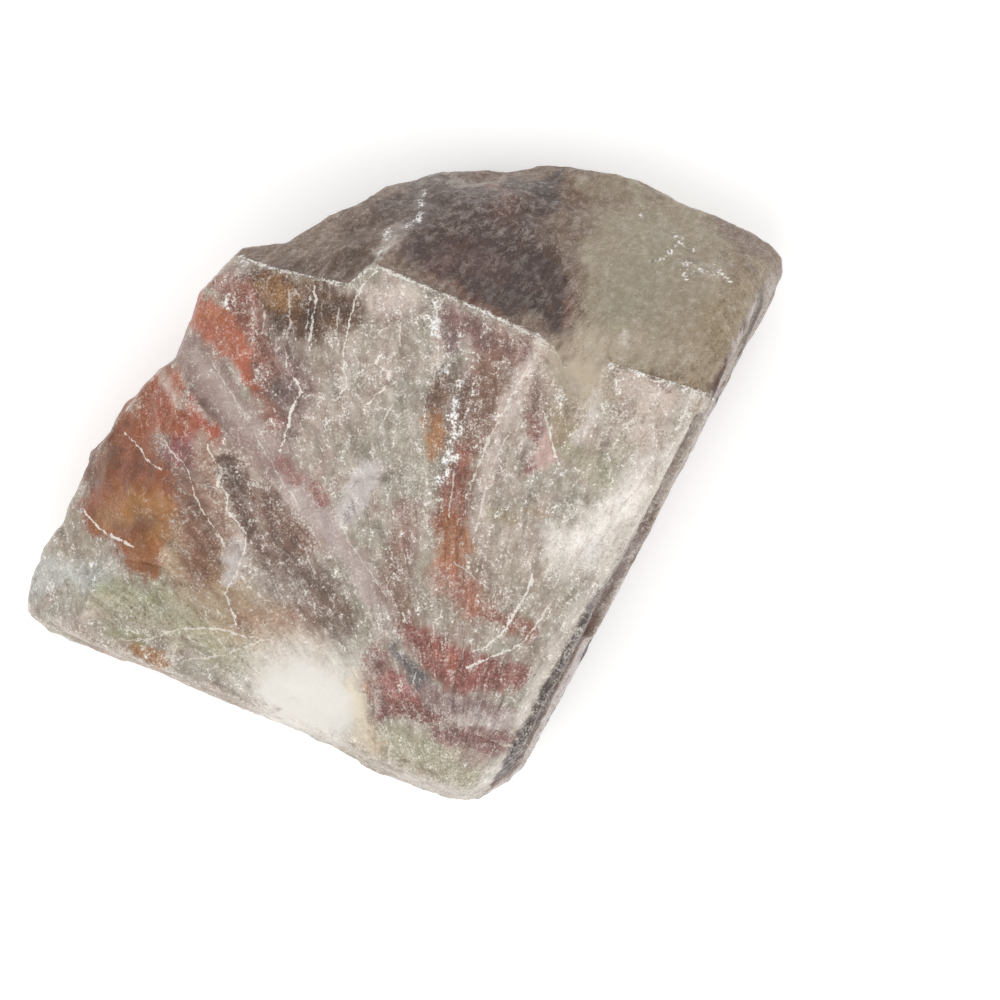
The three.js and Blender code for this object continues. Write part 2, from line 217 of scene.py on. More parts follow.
# Low steps along the two cleavage directions, and the ribs under the crest
def frontLift(x, y, z, settings):
    steps = [
        stair((toX * x + toY * y) / settings["terraceWidth"] + noiseAt(x, y, 0.0, wave))
        for (toX, toY), wave in zip(settings["cleavage"], settings["terraceWaves"])
    ]
    turned = smoothStep(*settings["terraceTurns"], noiseAt(x, y, 0.0, settings["terraceTurn"]))
    lift = settings["terraceDepth"] * (turned * steps[0] + (1.0 - turned) * steps[1])
    return lift + noiseAt(x, y, z, settings["frontGrain"])


def ribLift(x, y, settings):
    ribs = smoothStep(*settings["ribLeft"], x) * smoothStep(*settings["ribRight"], x)
    ribs *= smoothStep(*settings["ribFoot"], y)
    if ribs == 0.0:
        return 0.0
    width, length = settings["ribSize"]
    top, fall = settings["ribHeight"]
    return ribs * settings["ribDepth"] * (top - fall * abs(fractal(x / width, y / length, 2.0, 2)))


# The weathered roof is pitted, with a slanting grain
def roofLift(x, y, z, settings):
    across, along, down = settings["roofGrainSize"]
    turnX, turnY = settings["roofGrainTurn"]
    grain = fractal((turnX * x - turnY * y) / across, (turnY * x + turnX * y) / along, z / down)
    smooth = smoothStep(*settings["roofSmooth"], x)
    rough = 1.0 + smoothStep(*settings["roofRough"], x) * (1.0 - smooth)
    return settings["roofGrain"] * (rough - settings["smoothLoss"] * smooth) * grain


def flankLift(x, y, z, settings):
    place = Vector([part / size for part, size in zip((x, y, z), settings["flakeSize"])])
    flake = noise.ridged_multi_fractal(place, 1.0, 2.0, 3, 1.0, 2.0)
    return settings["brokenGrain"] * (flake - settings["flakeMiddle"])


def chipLift(x, y, z, edge, settings):
    depth = settings["edgeChip"] * min(edge, settings["chipEdges"][1]) / settings["chipEdges"][1]
    return -depth * smoothStep(*settings["chipPatches"], noiseAt(x, y, z, settings["chipNoise"]))


def liftAt(x, y, z, facing, edge, settings):
    wall = 1.0 - smoothStep(*settings["upright"], abs(facing[2]))
    beyond = y - float(np.interp(x, creaseX, creaseY))
    roof = smoothStep(*settings["roofStarts"], beyond) * (1.0 - wall)
    left = smoothStep(*settings["leftFlank"], x) * (1.0 - wall)
    front = max(0.0, 1.0 - roof - wall)
    lift = noiseAt(x, y, z, settings["swell"])
    if wall > 0.0:
        lift += wall * wallLift(x, y, z, facing, settings)
    if front > 0.0:
        lift += front * frontLift(x, y, z, settings) + (1.0 - roof) * ribLift(x, y, settings)
    if roof > 0.0:
        lift += roof * roofLift(x, y, z, settings)
    if left > 0.0:
        lift += left * flankLift(x, y, z, settings)
    if edge > settings["chipEdges"][0]:
        lift += chipLift(x, y, z, edge, settings)
    return lift * smoothStep(*settings["footFlat"], z)


def workSurface(piece, settings):
    mesh = piece.data
    edges = readArray(mesh.edges, "vertices", 2, int)
    points = readPoints(mesh)
    inScoop = smoothShares(*settings["scoopEdge"], depthInLine(points[:, :2], settings["scoopLine"]))
    inScoop *= smoothShares(*settings["scoopFacing"], readNormals(mesh)[:, 2])
    points += inScoop.reshape(-1, 1) * (evenedOut(points, edges, settings["scoopRounds"]) - points)
    writePoints(mesh, points)
    normals = readNormals(mesh)
    edge = standOut(points, normals, edges, settings["edgeRounds"])
    lifts = np.array([
        liftAt(x, y, z, facing, out, settings)
        for (x, y, z), facing, out in zip(points.tolist(), normals.tolist(), edge.tolist())
    ])
    points += normals * lifts.reshape(-1, 1)
    points = np.clip(points, np.array(cadBox[0]) / mm, np.array(cadBox[1]) / mm)
    writePoints(mesh, points)
    mesh.shade_smooth()
    for name, rounds, full in settings["standOuts"]:
        relief = standOut(points, readNormals(mesh), edges, rounds) / full
        keepValues(mesh, name, np.clip(relief, -1.0, 1.0))


def keepValues(mesh, name, values):
    mesh.attributes.new(name, "FLOAT", "POINT").data.foreach_set("value", values)


def keepColours(mesh, name, values):
    full = np.ones((len(values), 4))
    full[:, :3] = values
    mesh.attributes.new(name, "FLOAT_COLOR", "POINT").data.foreach_set("color", full.ravel())


# Adds shader nodes to a tree and links them. Wherever a value is asked for, a socket will do too.
class NodeKit:
    def __init__(self, tree):
        self.tree = tree

    def add(self, kind, **settings):
        node = self.tree.nodes.new(kind)
        for name, value in settings.items():
            setattr(node, name, value)
        return node

    def feed(self, socket, value):
        if isinstance(value, bpy.types.NodeSocket):
            self.tree.links.new(value, socket)
        else:
            socket.default_value = value

    def calculate(self, operation, *values):
        node = self.add("ShaderNodeMath", operation=operation)
        for socket, value in zip(node.inputs, values):
            self.feed(socket, value)
        return node.outputs[0]

    def times(self, first, *others):
        for other in others:
            first = self.calculate("MULTIPLY", first, other)
        return first

    def plus(self, first, *others):
        for other in others:
            first = self.calculate("ADD", first, other)
        return first

    def minus(self, first, second):
        return self.calculate("SUBTRACT", first, second)

    def size(self, value):
        return self.calculate("ABSOLUTE", value)

    def vectorMath(self, operation, first, second):
        node = self.add("ShaderNodeVectorMath", operation=operation)
        self.feed(node.inputs[0], first)
        self.feed(node.inputs["Scale" if operation == "SCALE" else 1], second)
        return node.outputs["Vector"]

    def split(self, vector):
        node = self.add("ShaderNodeSeparateXYZ")
        self.feed(node.inputs[0], vector)
        return node.outputs

    def flat(self, x, y):
        node = self.add("ShaderNodeCombineXYZ")
        self.feed(node.inputs["X"], x)
        self.feed(node.inputs["Y"], y)
        return node.outputs[0]

    # From start at low to end at high without a corner
    def ramp(self, value, low, high, start=0.0, end=1.0):
        node = self.add("ShaderNodeMapRange", interpolation_type="SMOOTHSTEP", clamp=False)
        parts = {"Value": value, "From Min": low, "From Max": high, "To Min": start, "To Max": end}
        for name, part in parts.items():
            self.feed(node.inputs[name], part)
        return node.outputs[0]

    def blend(self, share, under, over, kind="MIX"):
        node = self.add("ShaderNodeMix", data_type="RGBA", blend_type=kind)
        for at, part in ((0, share), (6, under), (7, over)):
            self.feed(node.inputs[at], part)
        return node.outputs[2]

    def noise(self, place, scale, detail, roughness):
        node = self.add("ShaderNodeTexNoise")
        self.feed(node.inputs["Vector"], place)
        node.inputs["Scale"].default_value = scale
        node.inputs["Detail"].default_value = detail
        node.inputs["Roughness"].default_value = roughness
        return node.outputs

    def read(self, name, output="Fac"):
        return self.add("ShaderNodeAttribute", attribute_name=name).outputs[output]


# White cracks between cells, as a mask
def makeCrackGroup():
    group = bpy.data.node_groups.new("hairline cracks", "ShaderNodeTree")
    for name, kind in (("Place", "Vector"), ("Scale", "Float"), ("Width", "Float")):
        group.interface.new_socket(name, in_out="INPUT", socket_type="NodeSocket" + kind)
    group.interface.new_socket("Mask", in_out="OUTPUT", socket_type="NodeSocketFloat")
    kit = NodeKit(group)
    given = kit.add("NodeGroupInput").outputs
    web = kit.add("ShaderNodeTexVoronoi", feature="DISTANCE_TO_EDGE", voronoi_dimensions="2D")
    kit.feed(web.inputs["Vector"], given["Place"])
    kit.feed(web.inputs["Scale"], given["Scale"])
    line = kit.ramp(web.outputs["Distance"], 0.0, given["Width"], 1.0, 0.0)
    kit.feed(kit.add("NodeGroupOutput").inputs["Mask"], line)
    return group


# The stone's colours
tones = {
    "greyGreen": "#989283",
    "warmGrey": "#9E9082",
    "oliveBeige": "#A18869",
    "paleGreen": "#9E997D",
    "coolGrey": "#B0B3AE",
    "mossGreen": "#8C9668",
    "mossPale": "#A6A48A",
    "greyBrown": "#958A78",
    "deepPlum": "#422C29",
    "mauveBrown": "#6D4127",
    "rust": "#834111",
    "umber": "#5E3A18",
    "gold": "#98672C",
    "rustRed": "#824B36",
    "orangeRed": "#934820",
    "scarlet": "#AA462A",
    "magenta": "#8A4A50",
    "flakeBeige": "#9A7C6A",
    "umberGrey": "#5E3D2B",
    "lavender": "#BEB5B2",
    "smoky": "#634636",
    "mist": "#A89E94",
    "ochreBrown": "#906634",
    "bistre": "#442D1E",
    "mauveRed": "#8C5A50",
    "plum": "#6B4A49",
    "plumRed": "#7C544E",
    "redOrange": "#A2563A",
    "orange": "#A0643A",
    "lilacGrey": "#8D756D",
    "lilacLight": "#BBABA3",
    "lilacWhite": "#BCAEA9",
    "rustBrown": "#6B3F24",
    "ochre": "#A06C3A",
    "plumBeige": "#8C6B60",
    "pink": "#BB9D93",
    "frost": "#D0C8BE",
    "rustOrange": "#A4583A",
    "greyBeige": "#978A79",
    "brickRed": "#7F3C31",
    "brickDark": "#6E3527",
    "rose": "#A4605C",
    "slateDark": "#5A5556",
    "slateLight": "#88716D",
    "cream": "#DACDB4",
    "white": "#F4F0EA",
    "crystal": "#ECEAE8",
    "crystalGrey": "#B2B2B4",
    "shade": "#A88E84",
    "wallDark": "#3C2C2A",
    "pinkFrost": "#C6B6A9",
    "pinkPale": "#CABAB0",
    "olive": "#807A4C",
    "roofGrey": "#7C6858",
    "roofBrown": "#735D4A",
    "purpleGrey": "#4B362E",
    "black": "#2C211B",
    "roofOlive": "#948872",
    "roofGreen": "#918973",
    "roofWarm": "#928165",
    "tailRust": "#8C5210",
    "glow": "#DCD8D0",
    "palest": "#DDD6CC",
    "scoopBeige": "#B3A48F",
    "rimOlive": "#A2927C",
}


def mixed(name):
    code = tones[name]
    return [(int(code[at:at + 2], 16) / 255.0) ** 2.2 for at in (1, 3, 5)]


def tone(name):
    return (*mixed(name), 1.0)


# Bands on the front, each laid over the ones before it: tone, softness, amount, and the line that it
# follows, as X, Y and half width in millimetres
frontBands = {
    "leftOlive": ("oliveBeige", 2, 0.8, [(-21.2, -7.9, 3.5), (-17.7, -12.8, 3), (-10.2, -15.8, 2.2)]),
    "lowerGreen": ("paleGreen", 1.8, 0.8, [
        (-30.6, -10.8, 2.2), (-25.1, -12.3, 2.2), (-18.7, -15.8, 2), (-15.2, -18.3, 1.4),
    ]),
    "coolTip": ("coolGrey", 1.5, 0.8, [(-35.5, -11.3, 2), (-33.2, -10, 1.7), (-29.6, -9.6, 1.3)]),
    "mossLine": ("mossGreen", 0.9, 0.35, [(-30.6, -10.8, 0.8), (-27.1, -11.6, 0.9), (-24.1, -12.2, 0.7)]),
    "mossRim": ("mossGreen", 0.6, 0.5, [(-29.1, -14.6, 0.6), (-26.1, -15.8, 0.8)]),
    "greyWedge": ("greyBrown", 0.8, 0.9, [(-33.8, -6.6, 1.4), (-31.9, -5.6, 1.9), (-30.4, -7.2, 1.5)]),
    "purpleRim": ("deepPlum", 0.4, 0.6, [(-34.4, -6, 0.4), (-33.8, -5.5, 0.4)]),
    "mauveFlank": ("mauveBrown", 1.2, 0.85, [
        (-23.1, 2.6, 1.4), (-21.2, -1.9, 2.2), (-20.2, -6.4, 2.2), (-19.7, -9.3, 1.4),
    ]),
    "rustFlank": ("rust", 0.4, 0.95, [
        (-26.1, 5.5, 1.4), (-26.6, 3.1, 2.4), (-27, -0.4, 3.9), (-26.9, -2.9, 3.9), (-26.1, -5.9, 2.6),
        (-25.3, -8.1, 1.4),
    ]),
    "umberFlank": ("umber", 1, 0.6, [(-28.9, 3.6, 1.2), (-30.1, 0.6, 1.6)]),
    "goldFlank": ("gold", 1.2, 0.85, [
        (-28.6, -4.1, 1), (-26.3, -2.4, 2), (-24.6, -2.9, 1.6), (-24.3, -5.4, 1.4),
    ]),
    "goldSpot": ("umber", 0.8, 0.5, [(-27.4, -4.7, 0.6), (-26.2, -4.3, 1.1), (-25.7, -5.6, 0.8)]),
    "rustTail": ("tailRust", 0.4, 0.9, [(-26.6, -6.6, 1), (-25.4, -7.9, 1.6), (-24.8, -9, 1.1)]),
    "orangeRim": ("orangeRed", 0.3, 0.95, [
        (-22.9, 10, 0.99), (-24.1, 8, 1.87), (-24.1, 6.2, 1.76), (-22.3, 5.5, 1.76), (-19.7, 4.6, 1.32),
    ]),
    "orangeChip": ("frost", 0.4, 0.5, [(-23.7, 9.7, 0.6), (-22.6, 8.2, 0.4)]),
    "scarletEdge": ("scarlet", 0.4, 0.7, [(-21.2, 8.5, 0.6), (-19.7, 6.2, 0.84), (-18.2, 4.4, 0.6)]),
    "orangeLeft": ("rust", 0.6, 0.6, [(-25.1, 8.8, 0.8), (-26.1, 6.8, 1.2), (-25.1, 5.2, 0.8)]),
    "magentaBlot": ("magenta", 0.7, 0.75, [(-22.9, 2.9, 1.03), (-21.2, 3.3, 1.15), (-20.8, 1.9, 0.69)]),
    "paleFlake": ("flakeBeige", 0.25, 0.95, [
        (-19.6, 4.3, 0.7), (-19.4, 1.1, 1), (-18.8, -2.4, 1.05), (-17.4, -4.7, 1), (-16.8, -6.4, 0.66),
    ]),
    # painted shade: the hollow below a low step, darkened towards umber grey
    "hollowShade": ("umberGrey", 0.4, 0.85, [
        (-17.7, 2.1, 0.6), (-16.6, 0.3, 1.3), (-15.8, -2.1, 1.5), (-15.2, -4.3, 1),
    ]),
    "hollowRed": ("rustRed", 0.4, 0.5, [(-17, 3.1, 0.4), (-15.2, 0.9, 0.5), (-14.6, -0.4, 0.4)]),
    "lavenderFacet": ("lavender", 0.2, 0.9, [
        (-16.5, -6.4, 1.03), (-16.9, -8.1, 1.03), (-17.4, -10.3, 0.69),
    ]),
    "mauveMiddle": ("mauveBrown", 0.8, 0.8, [(-14, -1.4, 1.2), (-11.7, -4.4, 1.6), (-10.2, -6.4, 1.4)]),
    "smoke": ("smoky", 1.4, 0.85, [
        (-14, -6.4, 1.84), (-11.4, -9.1, 2.9), (-8.8, -12, 3.3), (-6.6, -13.8, 2.1),
    ]),
    "mist": ("mist", 1.4, 0.55, [(-14.4, -9.8, 1.4), (-11.2, -11, 1.6)]),
    "smokeRed": ("rustRed", 1.2, 0.35, [(-15.7, -13.8, 1), (-11.2, -14.3, 1.4)]),
    "crestBrown": ("umber", 0.6, 0.95, [
        (-14, 18.9, 2.2), (-11.2, 17.6, 2.8), (-8.3, 16.9, 3), (-6.4, 16.9, 2.2),
    ]),
    "crestGold": ("ochreBrown", 0.7, 0.75, [(-13.4, 19.1, 1.3), (-11.7, 18.1, 1.7), (-10.7, 16.4, 1.1)]),
    "crestGoldRight": ("ochreBrown", 0.6, 0.5, [(-7.6, 17.4, 0.8), (-7, 15.8, 0.7)]),
    "crestDark": ("bistre", 0.8, 0.7, [
        (-12.8, 15.2, 1), (-9.8, 15.8, 1.2), (-9.4, 17.6, 0.7), (-7.3, 16.4, 1.2), (-6.3, 17, 0.9),
    ]),
    "pinkCrown": ("pinkPale", 0.8, 0.8, [(-3.6, 19.3, 0.9), (-2.4, 17.8, 1.6), (0.4, 18, 1.3)]),
    "rimMauve": ("mauveRed", 0.6, 0.8, [(-16.7, 19.4, 1.44), (-15.7, 16.9, 1.2), (-15, 14.5, 0.96)]),
    "plumHang": ("plum", 1, 0.7, [
        (-14, 13, 1.32), (-12.2, 11.5, 2.42), (-11.2, 8.5, 2.2), (-11.7, 5.5, 1.32),
    ]),
    "plumRed": ("rustRed", 0.8, 0.6, [(-14, 13, 0.6), (-12.7, 10.8, 0.8), (-14, 9.5, 0.5)]),
    "redTail": ("rustRed", 0.4, 0.75, [(-15.4, 11.6, 0.9), (-14, 8.5, 0.9), (-12.6, 6, 0.6)]),
    "ribRed": ("rustRed", 0.8, 0.75, [(-17, 18.8, 1), (-15.6, 16, 1.4), (-14.2, 13, 1.4)]),
    "redWedge": ("redOrange", 0.2, 0.95, [
        (-19.5, 17.2, 1.3), (-18.4, 15.6, 1.8), (-16.9, 13.4, 1.6), (-15.7, 11.4, 1), (-14.6, 9.4, 0.5),
    ]),
    "wedgeHot": ("orange", 0.5, 0.6, [(-19.4, 16.7, 0.5), (-18.4, 16.2, 0.7)]),
    "lilacBand": ("lilacGrey", 0.3, 0.95, [
        (-21.3, 13.2, 1.9), (-19, 9.7, 2.1), (-16.4, 6, 2.1), (-13.4, 2.7, 1.9), (-10.2, -1.1, 1.6),
        (-7.3, -4.6, 1.5), (-4.8, -7.9, 1.1), (-2.8, -11.3, 0.88),
    ]),
    "lilacLow": ("lilacWhite", 0.8, 0.7, [(-11.4, -0.4, 1), (-8.6, -3.2, 1.2), (-6.2, -6, 1)]),
    "lilacCore": ("lilacLight", 0.6, 0.6, [(-20.2, 12, 0.6), (-16.7, 7.5, 0.7), (-13.2, 3.6, 0.6)]),
    "bandRed": ("mauveRed", 0.4, 0.75, [(-12.2, 1.7, 0.6), (-10.6, 0.4, 0.72)]),
    "bandRedLow": ("mauveRed", 0.3, 0.85, [(-9.2, -0.7, 0.65), (-8.1, -1.9, 0.65)]),
    "lavenderChip": ("lavender", 0.25, 0.95, [
        (-3.3, 0.9, 1.28), (-4.5, -1.1, 1.44), (-5.4, -3.1, 1.12), (-5.7, -4.1, 0.64),
    ]),
    "mauveJoin": ("mauveBrown", 1, 0.7, [(-0.2, -7, 1.5), (-0.8, -11, 2), (0, -14, 1.6)]),
    "paleJoin": ("lilacWhite", 0.5, 0.6, [
        (-6.3, -6.4, 0.88), (-3.8, -9.8, 0.99), (-2.3, -12.8, 0.99), (-1.5, -15.3, 0.77),
    ]),
    "veinPlum": ("plum", 0.4, 0.8, [(4.8, 16.4, 0.96), (4.6, 13.5, 0.96)]),
    "crystalShade": ("umberGrey", 0.6, 0.6, [(5.2, 10.6, 0.9), (5.4, 6.5, 1.2), (4.2, 3.4, 0.9)]),
    "veinPale": ("pinkPale", 0.5, 0.5, [(3.3, 15.6, 0.6), (3.4, 12.8, 0.7), (2.8, 10.6, 0.5)]),
    "veinBrown": ("rustBrown", 0.5, 0.8, [(3.7, 10.4, 0.6), (3.3, 8, 0.9), (3.1, 6.2, 0.7)]),
    "veinOchre": ("ochre", 0.4, 0.85, [(3.1, 6.4, 0.7), (3.2, 4.4, 1), (3.3, 2.4, 0.6)]),
    "plumSlope": ("plumBeige", 0.8, 0.85, [(5.8, 16, 1.2), (8.6, 14, 2), (11.4, 12.6, 1.6)]),
    "plumTop": ("plum", 0.8, 0.6, [(5.6, 16.6, 0.8), (7, 15.2, 1.6), (8, 13.4, 1)]),
    "mauveSlope": ("mauveBrown", 1, 0.75, [(8.4, 10.5, 2.2), (8, 7, 2), (7, 3.1, 1.3)]),
    "deepSlope": ("plumBeige", 0.8, 0.7, [
        (12.6, 9.8, 0.8), (13, 7, 1), (12.6, 3.6, 0.9), (12, 1.4, 0.7),
    ]),
    "facetShade": ("mauveRed", 0.4, 0.75, [(13.3, 6.4, 0.5), (12.9, 3.4, 0.7), (12.6, 1.6, 0.5)]),
    "pinkFacet": ("pink", 0.12, 1, [(14.1, 7.2, 0.1), (14.4, 4.6, 0.6), (14.2, 2.4, 1.1)]),
    "paleRidge": ("pinkPale", 0.4, 0.8, [
        (13.8, 13.4, 0.4), (12.4, 10.8, 0.8), (11.2, 8.4, 1.1), (10.1, 5.6, 0.8), (9, 2.6, 0.6),
        (8, -1.9, 0.5), (7.2, -5.9, 0.4),
    ]),
    "whiteFan": ("frost", 0.5, 0.7, [(12.1, 4.1, 0.7), (12.6, 2.9, 0.5)]),
    "veinRed": ("rustRed", 0.6, 0.9, [(6.2, 3, 1), (5.7, 0.3, 1.5), (5.3, -2.4, 1.7), (4.9, -4.4, 1.6)]),
    "veinOrange": ("orange", 0.6, 0.85, [(5.2, -4.2, 1.1), (5, -6.4, 1.6), (4.4, -7.9, 1.4)]),
    "mauveMid": ("mauveRed", 1.2, 0.5, [(1.2, -3.4, 1.4), (0.7, -6.4, 1.2)]),
    "veinFoot": ("rustBrown", 1.6, 0.45, [(7, -7.6, 1), (8, -11.8, 1.6), (5, -14.2, 1.2)]),
    "lowOrange": ("rustOrange", 1.2, 0.65, [
        (4.2, -9.4, 1.2), (5.8, -10.8, 1.6), (6.8, -12, 1.3), (8, -13, 0.7),
    ]),
    "redThread": ("rustRed", 0.3, 0.8, [(8, -13, 0.36), (10.4, -13.9, 0.36)]),
    "lowOrangeEnd": ("rustRed", 0.6, 0.85, [(9.6, -13.8, 0.5), (11.2, -14.4, 0.9), (12.6, -14.8, 0.9)]),
    "greyPocket": ("greyBeige", 1, 0.6, [(2.7, -11.8, 1.2), (4.6, -13.6, 1.2)]),
    "brickUpper": ("brickRed", 0.4, 0.9, [
        (0.2, -15, 0.84), (1.7, -15.8, 1.44), (3.6, -17.6, 2.04), (6.6, -18.8, 2.16), (9.6, -19.3, 1.8),
        (11.8, -19.3, 1.08),
    ]),
    "brickHot": ("rustOrange", 0.8, 0.4, [(3.2, -16.4, 0.8), (4.8, -17.8, 1)]),
    "brickLower": ("brickDark", 0.4, 0.9, [
        (-2.6, -17.6, 1.1), (-2.4, -20.1, 1.8), (-1.6, -22.2, 1.7), (2.7, -22.9, 0.96), (4.4, -23.1, 0.6),
    ]),
    "rosePatch": ("rose", 0.5, 0.6, [(-1.5, -20.5, 0.72), (0.5, -21.1, 0.84)]),
    "slateDark": ("slateDark", 0.25, 0.98, [
        (-0.9, -16.4, 0.3), (-0.1, -17.9, 0.55), (0.8, -19.3, 0.9), (1.6, -20.4, 0.9),
    ]),
    "slateLight": ("slateLight", 0.3, 0.95, [
        (1.8, -20.6, 0.8), (3.6, -21.7, 1.2), (7.1, -22.6, 1.1), (10.4, -23.7, 1),
    ]),
    "speckledGrey": ("lilacWhite", 0.5, 0.7, [(5.6, -23.9, 0.8), (8.6, -24.4, 1), (11.6, -23.4, 0.8)]),
    "plumBand": ("plumRed", 0.3, 0.95, [(3.6, -25.1, 1), (7.1, -25.8, 1.2), (10.6, -26.2, 1.2)]),
    "tipGreen": ("paleGreen", 0.8, 0.7, [(-0.3, -26.2, 1.8), (3.6, -28.2, 1.8), (6.6, -29.7, 1.4)]),
    "tipMoss": ("mossGreen", 0.6, 0.25, [(2.2, -25.9, 0.8), (2.5, -27.7, 0.8)]),
    "glowHaze": ("palest", 3.5, 0.6, [(-13.5, -18.4, 2), (-9.6, -18.6, 3), (-6, -19.8, 2.5)]),
    "glow": ("glow", 2.8, 1, [(-13, -20.6, 2), (-10, -21, 3.4), (-6.8, -22.4, 2.8)]),
    "glowEdge": ("glow", 1.2, 0.9, [(-14.6, -21, 0.8), (-11, -23.6, 1.6), (-6.6, -25.4, 1.4)]),
    "creamEdge": ("cream", 0.9, 0.95, [(-4.9, -19.8, 0.6), (-4.3, -23.7, 0.7), (-2.8, -26.6, 0.8)]),
    "creamRust": ("ochre", 0.3, 0.7, [(-3.4, -20.5, 0.3), (-3.2, -21.9, 0.3)]),
    "creamRustLow": ("ochreBrown", 0.4, 0.6, [(-2.6, -24.2, 0.3), (-2.4, -27.2, 0.35)]),
    "rimOrange": ("gold", 0.5, 0.9, [(-27, -16.4, 0.6), (-25.4, -17.4, 0.9), (-24, -18.3, 0.7)]),
    "oliveScoop": ("scoopBeige", 2, 0.9, [(16.4, 12, 2.4), (18, 9.5, 2.6), (17.6, 7.5, 1.2)]),
    "olivePatch": ("roofWarm", 0.8, 0.8, [(15.5, 6.8, 0.9), (15.9, 4.6, 1.2), (16.2, 3, 0.8)]),
    "mossRight": ("mossPale", 1, 0.65, [(17, 2.9, 1.2), (19.5, 1.1, 1.6), (21, 0.1, 1.2)]),
    "frostBlock": ("pinkFrost", 0.8, 0.8, [(23, 9.5, 1.4), (25.5, 8, 2), (24.5, 5.5, 1.8)]),
    "frostCorner": ("frost", 0.5, 0.7, [(28.4, 8.7, 0.6), (28, 7, 0.8)]),
    "rimOlive": ("rimOlive", 0.25, 0.9, [
        (30.4, 9.4, 0.9), (29.4, 6.6, 0.7), (27.8, 3.8, 0.35), (26.8, 2, 0.1),
    ]),
    "blockSpeck": ("plum", 0.3, 0.8, [(25, 9.5, 0.4), (26.3, 9, 0.4)]),
    "greenRight": ("mossPale", 1.4, 0.3, [(21.5, 4.1, 1.6), (19.5, -1.9, 1.4)]),
    "smallOchre": ("ochreBrown", 0.5, 0.5, [(12.4, -2.7, 0.4), (14.1, -3.2, 0.4)]),
    "oliveSpot": ("olive", 0.6, 0.5, [(9.1, -3.1, 0.7), (11.1, -3.7, 0.6)]),
    "paleSlope": ("palest", 1.8, 0.85, [(23.5, -1.9, 1.4), (18.5, -4.9, 2.2), (15.6, -7.9, 1.6)]),
    "warmSlope": ("greyBeige", 1.4, 0.5, [(11.6, -8.8, 2), (14.1, -11.8, 1.6)]),
    "paleCore": ("white", 1.2, 0.55, [
        (26.4, 2.6, 0.8), (23.4, 1.6, 1.1), (19, -7.2, 1.3), (14.8, -5.2, 1),
    ]),
    "tipWhite": ("white", 0.8, 0.55, [(8.8, -29.8, 0.8), (10.4, -27.6, 0.7)]),
    "rightRim": ("frost", 0.6, 0.7, [(28.4, 5, 0.8), (19, -10.8, 0.8), (13, -20.7, 0.8), (11, -25, 0.7)]),
    "tipFrost": ("palest", 0.8, 0.5, [
        (1.5, -31, 1), (6.5, -32, 1.2), (10.5, -30.6, 1.2), (12, -27.6, 0.8),
    ]),
    "fibreStreak": ("frost", 0.3, 0.7, [(18.9, 8.8, 0.4), (18.3, 6.5, 0.5), (17, 4.1, 0.5)]),
}

